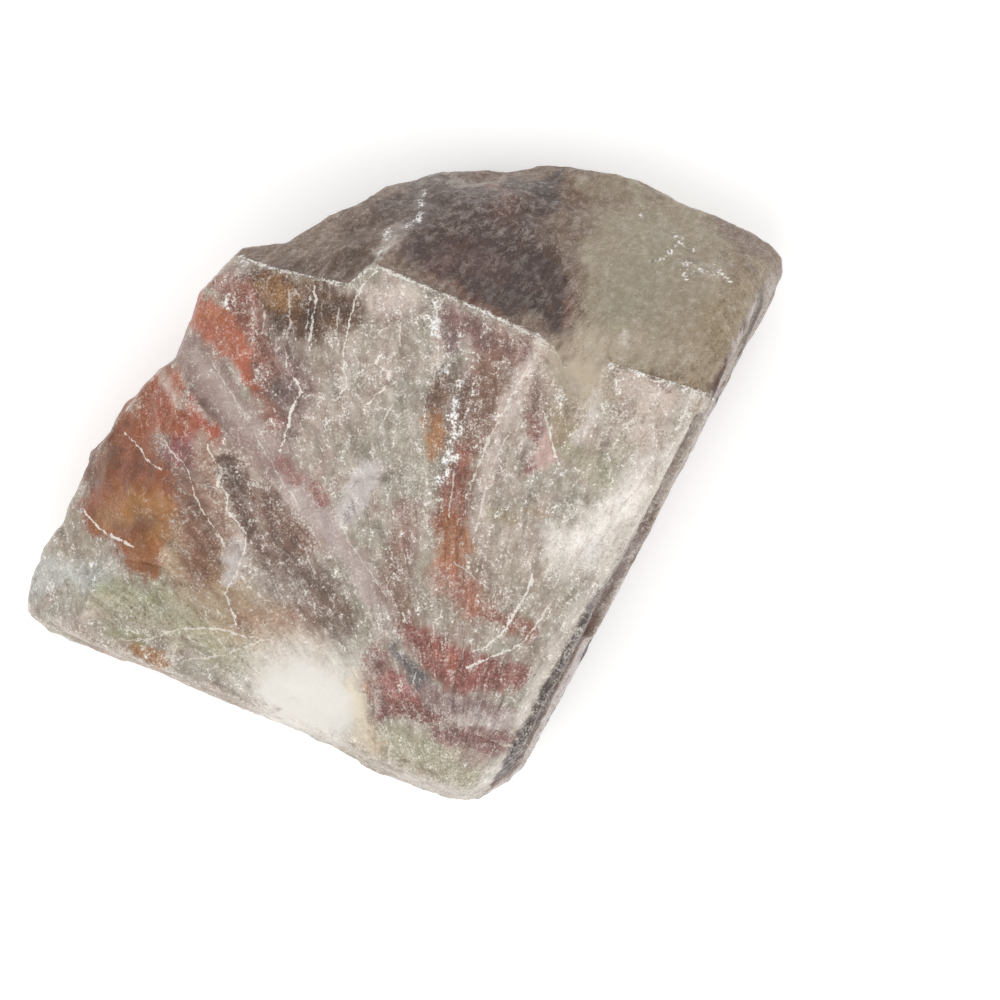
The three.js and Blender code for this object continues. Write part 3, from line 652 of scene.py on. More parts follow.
roofBands = {
    "leftBrown": ("roofBrown", 1, 0.5, [(-15.6, 22.5, 0.8), (-10.6, 22.1, 1.4), (-4.5, 22.8, 1.8)]),
    "topDark": ("bistre", 1, 0.75, [(1, 29.6, 0.8), (4.5, 29.8, 1.1), (7, 29.6, 0.8)]),
    "topBrown": ("bistre", 0.5, 0.7, [(-2.7, 28.2, 0.6), (-1.3, 27.9, 0.7)]),
    "leftDark": ("bistre", 1, 0.65, [(-1, 28.6, 0.9), (-2.5, 26.6, 1.6), (-4.6, 25.2, 1.1)]),
    "leftFoot": ("bistre", 1, 0.6, [(-12.5, 21.2, 0.8), (-7, 21.2, 1.2), (-4.6, 22.4, 1.6)]),
    "frostTrail": ("frost", 0.6, 0.85, [
        (2.1, 28.4, 0.9), (1.9, 26.2, 1.5), (-0.3, 24.6, 0.7), (-2.5, 23.1, 0.6),
    ]),
    "middleBrown": ("roofBrown", 2, 0.7, [(14.5, 29, 2.5), (15.5, 25, 2.5), (17.5, 21, 1.2)]),
    "purpleUpper": ("purpleGrey", 2, 0.9, [
        (2, 26.5, 3), (6.5, 27, 4), (9.5, 24.5, 4.4), (13.4, 21.5, 2.4),
    ]),
    "purpleDark": ("deepPlum", 0.7, 0.9, [
        (2.5, 22.6, 2), (6.6, 21.6, 3.2), (10.8, 20.4, 3.8), (14.4, 18.6, 2.4), (15, 16, 1.2),
    ]),
    "darkTop": ("deepPlum", 1.2, 0.65, [(8.5, 25.5, 1.6), (11, 27, 2), (13.4, 28.4, 1.8)]),
    "darkLeft": ("bistre", 1, 0.55, [(3.6, 28.6, 1), (4.4, 26.6, 1.8), (3, 24.8, 1.4)]),
    "mauveVeil": ("mauveRed", 1.2, 0.2, [(3.4, 21.6, 1), (6, 22.6, 1.4), (9, 21.4, 0.8)]),
    "blackStreak": ("black", 0.6, 0.35, [
        (3.5, 19.5, 0.4), (7.6, 18.3, 0.6), (11.6, 18.3, 0.8), (14.1, 16.5, 0.6),
    ]),
    "redCrease": ("rustRed", 0.4, 0.4, [(2.7, 20, 0.4), (6.6, 18.3, 0.3), (9.6, 16.9, 0.3)]),
    "redTop": ("rustRed", 1, 0.35, [(9.1, 29.9, 0.6), (10.8, 29.2, 0.8), (10.1, 26.9, 0.8)]),
    "rimLight": ("frost", 0.3, 0.45, [(1.5, 30.3, 0.3), (6.6, 30.8, 0.4), (10.1, 30.8, 0.4)]),
    "oliveField": ("roofOlive", 0.6, 0.95, [
        (22.2, 26.9, 4.2), (25.2, 22.3, 7.5), (24.2, 16.3, 6.2), (19.7, 13.2, 3),
    ]),
    "greenField": ("roofGreen", 1.4, 0.7, [
        (25.2, 28.9, 0.9), (24.9, 24.3, 1.2), (22.7, 19.3, 3), (20.7, 15.3, 2),
    ]),
    "brownTop": ("roofBrown", 1.2, 0.6, [(17.8, 25.4, 1.4), (20, 27.6, 1.8), (22.7, 29.4, 1)]),
    "brownCorner": ("roofWarm", 1.2, 0.7, [
        (35.3, 22.8, 1), (36.3, 20.8, 0.9), (33.8, 18.3, 1.6), (31.3, 15.3, 1.4),
    ]),
    "cornerDark": ("roofBrown", 1.2, 0.55, [(33.4, 20.6, 1.2), (34.4, 18.4, 1)]),
    "greyCorner": ("frost", 0.8, 0.35, [(30.3, 21.1, 0.8), (32.3, 20.7, 0.8)]),
    "ochreTop": ("umber", 0.8, 0.6, [(16.4, 29.4, 0.8), (18, 28.7, 0.8)]),
    "redEdge": ("rustRed", 0.4, 0.4, [(17.2, 18.3, 0.3), (16.3, 16.1, 0.3)]),
    # painted shade: a black patch on the rim where a small notch lies in shadow
    "notchShade": ("black", 0.4, 0.7, [(11.6, 30, 0.8), (13.6, 29.8, 1.1), (15.4, 30.2, 0.8)]),
    "warmRight": ("roofWarm", 2.5, 0.9, [
        (33.5, 19.5, 2.5), (31.5, 14, 4), (29.5, 10.5, 2.5), (36, 9, 4),
    ]),
    "warmLow": ("scoopBeige", 1.6, 0.9, [(16.6, 10.5, 3), (18.4, 13.4, 2.4), (21.5, 13.5, 1.4)]),
    "warmFoot": ("rimOlive", 1.4, 0.7, [(22.5, 13.3, 1.4), (27.8, 12.2, 2)]),
    "whitePatch": ("frost", 0.3, 0.7, [(21.7, 14.4, 0.4), (22.1, 13.4, 0.3)]),
}

# Where loose white crystals show, and the painted glints and highlights among them: amount, then X, Y and
# half width
crystalAndGlintPatches = [
    (0.5, [(12.6, 11, 0.8), (10.8, 7.4, 1), (9.4, 3.4, 0.8)]),
    (0.4, [(24, 9, 1.6), (27.4, 7, 1.4)]),
    (0.5, [(19, 9, 0.7), (18.2, 5.6, 0.9)]),
    (0.8, [(0.6, 19.6, 0.3), (2.9, 18.7, 0.5)]),
    (0.7, [(5.4, 17.6, 0.4), (7.1, 16.9, 0.3)]),
    (1.2, [(2.7, 17.9, 0.8), (3.2, 15, 1.2), (3.9, 11.2, 1)]),
    (1.2, [(6.2, 9.8, 1), (5.7, 7.5, 1.2), (5, 5, 0.9)]),
    (1.3, [(4.8, 3.6, 0.9), (4.5, 1.4, 0.9), (3.7, -0.4, 0.7)]),
    (1.2, [(-15.9, 21.3, 0.6), (-15.9, 20.3, 0.6)]),
    (1.2, [(-17.6, 18.3, 0.6), (-17.4, 17.1, 0.6)]),
    (0.7, [(-25.4, 8.2, 0.4), (-24.8, 7.4, 0.4)]),
    (1.2, [(-31.7, -8.6, 0.8), (-31.1, -10.6, 0.9)]),
    (0.6, [(-29.3, -7.1, 0.5), (-28.5, -7.5, 0.4)]),
    (0.7, [(-2.3, 12.2, 0.4), (-1.5, 10.4, 0.6), (-3.1, 8.4, 0.5)]),
    (0.7, [(-5.8, 8.5, 0.5), (-5.3, 7.8, 0.4)]),
    # painted highlight: white specks at the lower end of the lavender chip
    (0.75, [(-4.8, -1.8, 0.5), (-5.3, -3.2, 0.8), (-5.6, -4, 0.5)]),
    (0.6, [(1.5, -26.5, 0.7), (2.3, -27.9, 0.6)]),
    (0.6, [(6.2, -30.7, 0.6), (7.2, -30.5, 0.5)]),
    (0.7, [(7, -14, 0.5), (7.8, -14.8, 0.4)]),
    (0.7, [(28.6, 8.8, 0.4), (28.4, 7, 0.4)]),
    (0.6, [(-2.5, -11.8, 0.7), (-1.3, -15.3, 0.7)]),
    (0.5, [(-2.8, 19.7, 0.6), (-1.1, 16.9, 0.6)]),
    (0.6, [(-10.2, 13, 0.5), (-9.6, 10.8, 0.5)]),
    (0.5, [(11.6, -15.8, 0.6), (9.4, -16.8, 0.5)]),
    (0.6, [(12.6, -3.9, 1.2), (17.5, -1.9, 1.2)]),
    (0.6, [(19.7, 4.1, 1), (23.5, 6, 1)]),
    (0.5, [(-20.2, -15.8, 0.8), (-16.2, -15, 0.8)]),
    (0.7, [(3.4, 18.3, 0.5), (3.8, 17.7, 0.4)]),
    (0.6, [(6.2, 17.9, 0.3), (7.2, 17.1, 0.3)]),
    (0.6, [(-17.7, 4.3, 0.4), (-17.1, 3.4, 0.3)]),
    (0.6, [(12, 3.6, 0.6), (12.7, 2.6, 0.4)]),
    (1.2, [(2.3, 28.6, 0.5), (1.3, 26.8, 1), (0.2, 25.4, 0.6)]),
    (1.2, [(-1.7, 24.3, 0.6), (-2.7, 22.8, 0.6)]),
    (0.6, [(-2, 28, 0.8), (-0.7, 28.4, 0.6)]),
    (0.25, [(-10.6, 24.3, 1.5), (-3.5, 25.5, 2)]),
    (1.05, [(23, 26.3, 0.6), (23.6, 26.2, 0.5)]),
    (1, [(25.9, 25.5, 0.5), (26.6, 25.1, 0.5)]),
    (1.05, [(27, 24.5, 0.6), (28.8, 23.8, 0.6)]),
    (1, [(24.2, 23.1, 0.5), (27, 23, 0.5)]),
    (1.05, [(28, 21.1, 0.7), (30, 21.3, 0.7)]),
    (1, [(31.2, 21.3, 0.7), (32.8, 20.7, 0.7)]),
    (0.7, [(21.5, 14.7, 0.4), (22.3, 13.7, 0.4)]),
    # painted glints: sparse white specks on the roof's dark and olive fields
    (0.16, [(5, 22, 2), (13, 19, 2.5)]),
    (0.14, [(23.7, 17.3, 3), (29.8, 18.3, 3)]),
]

# White hairlines that can be told apart: half width, amount, and the line in X and Y
hairlines = {
    "crestRib": (0.1, 0.9, [
        (-2.3, 21.1), (-3.7, 19.7), (-4.8, 17.9), (-5.2, 16), (-5.8, 13.5), (-5.9, 11.6), (-5.6, 9.5),
        (-6.6, 7.9), (-7.6, 7.6),
    ]),
    "creaseRight": (0.12, 0.95, [
        (-2.9, 21.4), (-0.6, 20.3), (2.7, 19), (5.8, 17.8), (9.1, 16.2), (13.3, 14.2), (15.2, 13),
    ]),
    "squiggle": (0.13, 1, [
        (-2.2, 12.6), (-2.8, 11.4), (-1.5, 10.9), (-1.5, 9.6), (-2.5, 8.6), (-3.9, 7.3),
    ]),
    "ribOne": (0.12, 0.85, [(-8.9, 19.5), (-8.7, 17.9), (-9, 16), (-9.4, 13.5)]),
    "ribTwo": (0.1, 0.7, [(-9.3, 18.5), (-9.4, 16.7), (-9.6, 15)]),
    "ribThree": (0.09, 0.6, [(-11.4, 19.3), (-11.3, 17.4), (-11.2, 15.5), (-11.6, 14)]),
    "ribFour": (0.09, 0.6, [(-13.9, 17.7), (-13.8, 16.2), (-14, 14.5)]),
    "ribFive": (0.08, 0.6, [(-6.3, 17.4), (-6.5, 16), (-6.7, 14.6)]),
    "plumLine": (0.12, 0.95, [
        (-11.4, 10.8), (-10.8, 10.2), (-10.1, 9), (-10.9, 7.4), (-11.3, 6), (-11.7, 4.5), (-12.3, 2.8),
    ]),
    "flakeLineTop": (0.09, 0.8, [(-11.8, 13.6), (-11.5, 12.2), (-11.6, 11.2)]),
    "orangeLine": (0.11, 0.85, [(-28.3, 5), (-26.8, 3.9), (-25.5, 2), (-23.8, 0.9)]),
    "zigzag": (0.09, 0.7, [
        (-24.4, 4.6), (-23.5, 3.4), (-22.4, 2.3), (-21.3, 1.1), (-20.8, -1.1), (-20.2, -2.7),
        (-18.5, -5.1), (-17.7, -6.6),
    ]),
    "sawTooth": (0.11, 0.9, [
        (-19.6, 3.9), (-19.2, 2.7), (-18.1, 1.2), (-18.5, -0.3), (-17.4, -1.4), (-17.6, -2.9),
        (-16.4, -4.2), (-15.6, -5.4), (-15.8, -6.9), (-16.5, -8.9), (-17.7, -11.2), (-17, -13),
        (-16.5, -14.6),
    ]),
    "rustRim": (0.14, 0.9, [(-32.4, -2.7), (-30.5, -4.8), (-29.1, -5.5), (-26.8, -6.6)]),
    "waveOne": (0.1, 0.7, [(-28.6, -15.8), (-25.8, -15.9), (-22.3, -14.7), (-18.5, -14.7), (-14, -15.9)]),
    "waveTwo": (0.08, 0.6, [
        (-24.1, -18.7), (-21.4, -17.8), (-18.5, -17.5), (-15.5, -16.4), (-13, -15.5),
    ]),
    "lowCrackOne": (0.14, 0.95, [
        (13, -8.9), (12.4, -10.7), (11.3, -12.9), (9.8, -15.1), (8, -16.6), (6.4, -17),
    ]),
    "lowCrackTwo": (0.12, 0.9, [(14.7, -11.8), (13.1, -14.5), (11.5, -16.3), (8.7, -17.5), (6.1, -18.7)]),
    "ridgeLine": (0.12, 0.7, [(13.7, 13.3), (12.5, 11.4), (11, 8.8), (9.5, 6), (8, 2.9), (6.1, -1.9)]),
    "ridgeLow": (0.1, 0.6, [(10.7, 5.2), (8.9, 1.7), (7.7, -2.9), (6.8, -6.5)]),
    "arc": (0.08, 0.9, [(12.8, 13.7), (14.1, 13.3), (15.4, 12.5), (15.9, 11.1)]),
    "blockEdge": (0.1, 0.9, [(20, 11.9), (22.3, 11.1), (25, 9.9), (26.7, 9.7), (28.6, 9.7)]),
    "blockSide": (0.12, 0.6, [(29, 9.2), (28.2, 7.5), (27.1, 5)]),
    "pinkEdge": (0.14, 1, [(13.9, 7), (14.5, 4.8), (15, 2.9), (15.4, 1.4)]),
    "threadOne": (0.07, 0.6, [(-0.1, 16.9), (-0.3, 15), (-0.3, 12.8)]),
    "threadTwo": (0.08, 0.7, [(-0.9, 7.7), (-1.5, 6.7), (-2, 5.7)]),
    "threadThree": (0.08, 0.7, [(0.4, 7.1), (-0.3, 6.6), (-1, 6)]),
    "glowLine": (0.08, 0.5, [(-6.3, -3.9), (-5.1, -6.7), (-3.1, -9.3), (-1.5, -11.8)]),
    "redLine": (0.08, 0.6, [(5.1, 1.1), (4.8, -1.9), (4.5, -3.9)]),
    "rimCurve": (0.09, 0.6, [(2.7, 18.4), (3.4, 16.7), (3.6, 14), (3.4, 11.2)]),
    "bandLine": (0.07, 0.5, [(-19, 12), (-17, 8.5), (-15.2, 5.5), (-12.7, 1.1), (-10.4, -2.4)]),
    "slateLine": (0.07, 0.5, [(1.2, -19), (0.9, -20.4), (1.5, -21.1)]),
    "tipLine": (0.08, 0.6, [(-1.9, -23.9), (-1.3, -26.2), (-1.5, -28.7)]),
    "lowFan": (0.07, 0.6, [(4.8, -7.9), (6.6, -9.3), (8.6, -10.8)]),
    "rightFan": (0.07, 0.5, [(23.5, 1.1), (21.5, -1.9), (19.5, -5.4), (18, -7.9)]),
}


paint = {
    "lean": (0.22, -0.12),  # how far the bands lean for each millimetre down into the stone
    "skin": 1.0,  # no lean down to this depth
    # the front's plane is found from points that face up this much, this far from the crease
    "frontFacing": 0.9,
    "frontEnds": -1.0,
    "straySeed": 1795484619,  # without a seed the bands would stray differently in each run
    "broadStray": (0.7, 4.5),  # how far the bands stray, and over what distance
    "strayGrowth": 7.0,  # the stray doubles within this depth
    "fineStray": (0.45, 1.3),
    "fray": (1.0, 0.8),  # how far neighbouring bands reach into each other
    "clouds": 6.0,
    "cloudEdges": (-0.35, 0.35),
    "frostPatches": 4.2,
    "frostEdges": (-0.25, 0.45),
    "fanCentre": (4.0, -34.0),  # the bands on the front fan out from here
    "fanRadius": 42.0,
    "fanStretch": 0.34,
    "roofGrain": 55.0,  # the direction of the roof's scratches, in degrees
    "roofStretch": 0.12,
    "roofFineness": 1.3,
    "scratchLine": [(3.0, 22.0, 3.0), (9.5, 24.0, 4.5), (14.0, 19.0, 3.0)],
    "scratchEdge": (-2.5, 1.5),
    "scratchPatches": 2.2,
    "scratchPatchEdges": (-0.15, 0.2),
    "scratchLeast": 0.15,
    # how strongly the white grain and the dark grain show on some bands
    "grainOn": {
        "leftOlive": (0.55, 0.7),
        "lowerGreen": (0.6, 0.8),
        "mauveFlank": (0.5, 0.9),
        "rustFlank": (0.1, 0.8),
        "rustTail": (0.15, 0.7),
        "orangeRim": (0.4, 0.7),
        "magentaBlot": (0.5, 0.8),
        "goldFlank": (0.25, 0.5),
        "smoke": (0.75, 1.0),
        "crestBrown": (0.4, 1.0),
        "redWedge": (0.35, 0.6),
        "lilacBand": (0.45, 0.4),
        "lavenderChip": (0.5, 0.4),
        "lavenderFacet": (0.5, 0.4),
        "veinBrown": (0.5, 1.0),
        "veinOchre": (0.5, 1.0),
        "brickUpper": (0.6, 1.0),
        "brickLower": (0.55, 1.0),
        "slateDark": (0.5, 0.6),
        "oliveScoop": (0.35, 0.45),
        "pinkFacet": (0.4, 0.4),
        "paleSlope": (0.8, 0.6),
        "plumHang": (0.8, 1.0),
        "paleFlake": (0.6, 0.9),
        "hollowShade": (0.9, 1.0),
        "mauveMiddle": (0.6, 1.0),
        "veinRed": (0.6, 1.0),
        "veinOrange": (0.5, 1.0),
        "deepSlope": (0.7, 1.0),
        "plumSlope": (0.8, 1.0),
        "lowOrange": (0.6, 1.0),
        "slateLight": (0.6, 0.9),
        "plumBand": (0.6, 1.0),
        "creamEdge": (0.4, 0.4),
        "glowHaze": (0.5, 0.5),
        "glow": (0.0, 0.0),
        "purpleDark": (0.45, 0.75),
        "oliveField": (1.0, 0.3),
    },
    "grainEdge": (-0.5, 0.8),
    "groundDarks": 0.6,
    # streaks and clots a few millimetres long: field, where it starts and is full, tone, amount
    "clots": [
        ("streak", 0.1, 0.6, "lilacWhite", 0.28),
        ("streak", -0.1, -0.6, "smoky", 0.2),
        ("clot", 0.15, 0.6, "frost", 0.2),
        ("clot", -0.15, -0.6, "plumBeige", 0.2),
        ("tint", 0.15, 0.6, "rose", 0.12),
        ("tint", -0.15, -0.6, "paleGreen", 0.22),
    ],
    "clotSizes": {"streak": 1.5, "clot": 1.7, "tint": 3.6},
    "streakShade": 0.35,
    "clotShade": 0.12,
    "shadeLimits": (0.5, 1.4),
    "roofShade": 0.6,
    "crystalEdge": (-0.5, 0.4),
    # loose crystals also lie along the hairlines: amount, half width and edge
    "hairHalo": (0.5, 0.3, (-0.7, 0.2)),
    "scoopStarts": (13.6, 15.2),  # the hollow in the crease, from left to right
    "scoopEnds": (21.0, 18.5),
    "scoopCalm": (1.2, 0.4),
    "upright": (0.45, 0.2),  # on walls the crease is blurred
    "uprightStray": (4.0, 6.0),
}

# The right wall's own layers
rightWall = {
    "facing": (0.887, -0.462),
    "amount": 0.95,
    "starts": (22.5, 22.9),  # how far out, along its facing
    "stray": (0.3, 1.5),
    "reach": 0.9,  # how much nearer to the front it starts at the tip
    "toTip": (-4.0, -15.0),
    "top": (23.0, 18.0),
    "layerStray": 7.0,
    "whites": 0.5,
    "darks": 0.9,
    # how far down, the tone at its upper end and at the tip
    "layers": [
        (0.4, "frost", "wallDark"),
        (1.0, "mist", "wallDark"),
        (2.5, "smoky", "wallDark"),
        (4.5, "mist", "wallDark"),
        (6.5, "lavender", "umberGrey"),
        (7.4, "lavender", "umberGrey"),
        (8.2, "smoky", "mist"),
        (9.5, "mist", "lavender"),
        (11.0, "lavender", "lavender"),
        (12.4, "mist", "lavender"),
        (13.2, "wallDark", "wallDark"),
        (14.5, "mist", "wallDark"),
        (17.0, "lavender", "slateLight"),
        (20.0, "mist", "mist"),
        (23.0, "slateLight", "purpleGrey"),
        (25.0, "smoky", "wallDark"),
    ],
}


# A smooth field in three dimensions: one vector for each point
def drift(points, reach, spread, seed):
    shift = Vector((seed * 17.3, seed * 5.1, seed * 9.7))
    field = [noise.turbulence_vector(Vector(p) / spread + shift, 2, False) for p in points.tolist()]
    return reach * np.array(field)


def patches(points, spread, seed):
    shift = Vector((seed * 11.9, seed * 3.7, seed * 7.3))
    return np.array([noise.fractal(Vector(p) / spread + shift, 0.8, 2.0, 4) for p in points.tolist()])


def asColumn(values):
    return values.reshape(-1, 1)


# How deep each place lies inside a line whose half width changes along it
def depthInLine(places, line):
    deepest = np.full(len(places), -np.inf)
    for start, end in zip(line, line[1:]):
        origin, along = np.array(start[:2]), np.subtract(end[:2], start[:2])
        share = np.clip((places - origin) @ along / (along @ along), 0.0, 1.0)
        away = np.linalg.norm(places - origin - asColumn(share) * along, axis=1)
        deepest = np.maximum(deepest, start[2] + share * (end[2] - start[2]) - away)
    return deepest


# Colours moved towards another colour, by a share for each point
def tinted(colours, share, name):
    return colours + asColumn(share) * (np.array(mixed(name)) - colours)


def layBands(places, colours, bands):
    for name, soft, amount, line in bands.values():
        colours = tinted(colours, amount * smoothShares(-soft, soft, depthInLine(places, line)), name)
    return colours


# Coordinates that follow the stone's structure: across it, along it and down
def flowPlaces(points, onRoof, settings):
    away = points[:, :2] - settings["fanCentre"]
    across = np.arctan2(away[:, 0], away[:, 1]) * settings["fanRadius"]
    along = np.linalg.norm(away, axis=1)
    fan = np.stack([across, along * settings["fanStretch"], points[:, 2]], axis=1)
    turn = np.radians(settings["roofGrain"])
    roofAlong = points[:, 0] * np.cos(turn) + points[:, 1] * np.sin(turn)
    roofAcross = points[:, 1] * np.cos(turn) - points[:, 0] * np.sin(turn)
    roof = np.stack([roofAcross, roofAlong * settings["roofStretch"], points[:, 2]], axis=1)
    return np.where(asColumn(onRoof), roof * settings["roofFineness"], fan)


# How deep each point lies under the plane that fits the front best
def depthUnderFront(points, normals, beyond, settings):
    sheet = np.column_stack([np.ones(len(points)), points[:, :2]])
    onFront = (normals[:, 2] > settings["frontFacing"]) & (beyond < settings["frontEnds"])
    plane = np.linalg.lstsq(sheet[onFront], points[onFront, 2], rcond=None)[0]
    return sheet @ plane - points[:, 2]


# The right wall's colours, and where they show
def paintWall(points, depth, settings):
    toTip = smoothShares(*settings["toTip"], points[:, 1])
    reach, spread = settings["stray"]
    outwards = points[:, :2] @ np.array(settings["facing"]) + reach * patches(points, spread, seed=8)
    onWall = smoothShares(*settings["starts"], outwards + settings["reach"] * toTip)
    onWall *= smoothShares(*settings["top"], points[:, 1]) * settings["amount"]
    depth = depth + patches(points, settings["layerStray"], seed=6)
    levels, *tonesAlong = zip(*settings["layers"])
    ends = []
    for names in tonesAlong:
        layers = np.array([mixed(name) for name in names])
        ends.append(np.stack([np.interp(depth, levels, layers[:, part]) for part in range(3)], axis=1))
    return ends[0] + asColumn(toTip) * (ends[1] - ends[0]), onWall


def grainShares(places, flat, onWall, settings):
    whites = np.ones(len(places))
    darks = np.full(len(places), settings["groundDarks"])
    for name, (white, dark) in settings["grainOn"].items():
        spots, bands = (places, roofBands) if name in roofBands else (flat, frontBands)
        cover = smoothShares(*settings["grainEdge"], depthInLine(spots, bands[name][3]))
        whites += cover * (white - whites)
        darks += cover * (dark - darks)
    whites += onWall * (rightWall["whites"] - whites)
    darks += onWall * (rightWall["darks"] - darks)
    return whites, darks


def crystalAndGlintShares(places, settings):
    crystal = np.zeros(len(places))
    for amount, line in crystalAndGlintPatches:
        near = smoothShares(*settings["crystalEdge"], depthInLine(places, line))
        crystal = np.maximum(crystal, amount * near)
    halo, half, edge = settings["hairHalo"]
    for _, amount, line in hairlines.values():
        near = depthInLine(places, [(*place, half) for place in line])
        crystal = np.maximum(crystal, halo * amount * smoothShares(*edge, near))
    return crystal


def scratchShares(points, settings):
    depth = depthInLine(points[:, :2], settings["scratchLine"])
    scratches = smoothShares(*settings["scratchEdge"], depth)
    patchy = patches(points, settings["scratchPatches"], seed=9)
    scratches *= smoothShares(*settings["scratchPatchEdges"], patchy)
    return scratches * (1.0 - settings["scratchLeast"]) + settings["scratchLeast"]


def paintPoints(piece, settings):
    mesh = piece.data
    points = readPoints(mesh)
    normals = readNormals(mesh)
    places = points[:, :2]
    beyond = points[:, 1] - np.interp(points[:, 0], creaseX, creaseY)
    depth = depthUnderFront(points, normals, beyond, settings)
    below = asColumn(np.maximum(0.0, depth - settings["skin"]))
    flat = places + below * np.array(settings["lean"])
    noise.seed_set(settings["straySeed"])
    broad = drift(points, *settings["broadStray"], seed=1) * (1.0 + below / settings["strayGrowth"])
    stray = (broad + drift(points, *settings["fineStray"], seed=2))[:, :2]
    fray = drift(points, *settings["fray"], seed=3)[:, :2]
    wall, onWall = paintWall(points, depth, rightWall)
    whites, darks = grainShares(places + stray, flat + stray, onWall, settings)

    # the ground under the bands, with its clouds, streaks and clots
    cloud = smoothShares(*settings["cloudEdges"], patches(points, settings["clouds"], seed=4))
    ground = tinted(np.tile(mixed("greyGreen"), (len(points), 1)), cloud, "warmGrey")
    roofGround = np.tile(mixed("roofGrey"), (len(points), 1))
    flow = flowPlaces(points, beyond > 0.0, settings)
    fields = {
        name: patches(flow if name == "streak" else points, size, seed)
        for seed, (name, size) in enumerate(settings["clotSizes"].items(), start=20)
    }
    for field, low, high, name, amount in settings["clots"]:
        ground = tinted(ground, amount * smoothShares(low, high, fields[field]), name)
    # the same streaks and clots shade the bands without changing their hue
    shading = settings["streakShade"] * fields["streak"] + settings["clotShade"] * fields["clot"]
    shading = asColumn(np.clip(1.0 + darks * shading, *settings["shadeLimits"]))
    roofShading = 1.0 + settings["roofShade"] * (shading - 1.0)
    for end, shift in (("Near", stray), ("Far", stray + fray)):
        front = layBands(flat + shift, ground, frontBands) * shading
        roof = layBands(places + shift, roofGround, roofBands) * roofShading
        keepColours(mesh, "front" + end, front + asColumn(onWall) * (wall - front))
        keepColours(mesh, "roof" + end, roof + asColumn(onWall) * (wall - roof))

    inScoop = smoothShares(*settings["scoopStarts"], points[:, 0])
    inScoop *= smoothShares(*settings["scoopEnds"], points[:, 0])
    calm = 1.0 - inScoop * smoothShares(*settings["scoopCalm"], np.abs(beyond))
    upright = smoothShares(*settings["upright"], np.abs(normals[:, 2]))
    reach, spread = settings["uprightStray"]
    frost = patches(points, settings["frostPatches"], seed=5)
    keepValues(mesh, "calm", calm)
    keepValues(mesh, "scratches", scratchShares(points, settings))
    # the crystal attribute also carries the painted glints and highlights
    keepValues(mesh, "crystal", crystalAndGlintShares(places + stray, settings))
    keepValues(mesh, "whites", whites * calm)
    keepValues(mesh, "darks", darks * calm)
    keepValues(mesh, "beyondCrease", beyond + upright * reach * patches(points, spread, seed=7))
    keepValues(mesh, "creaseBlur", np.maximum(inScoop, upright))
    keepValues(mesh, "frostPatch", smoothShares(*settings["frostEdges"], frost))
    mesh.attributes.new("flow", "FLOAT_VECTOR", "POINT").data.foreach_set("vector", flow.ravel())


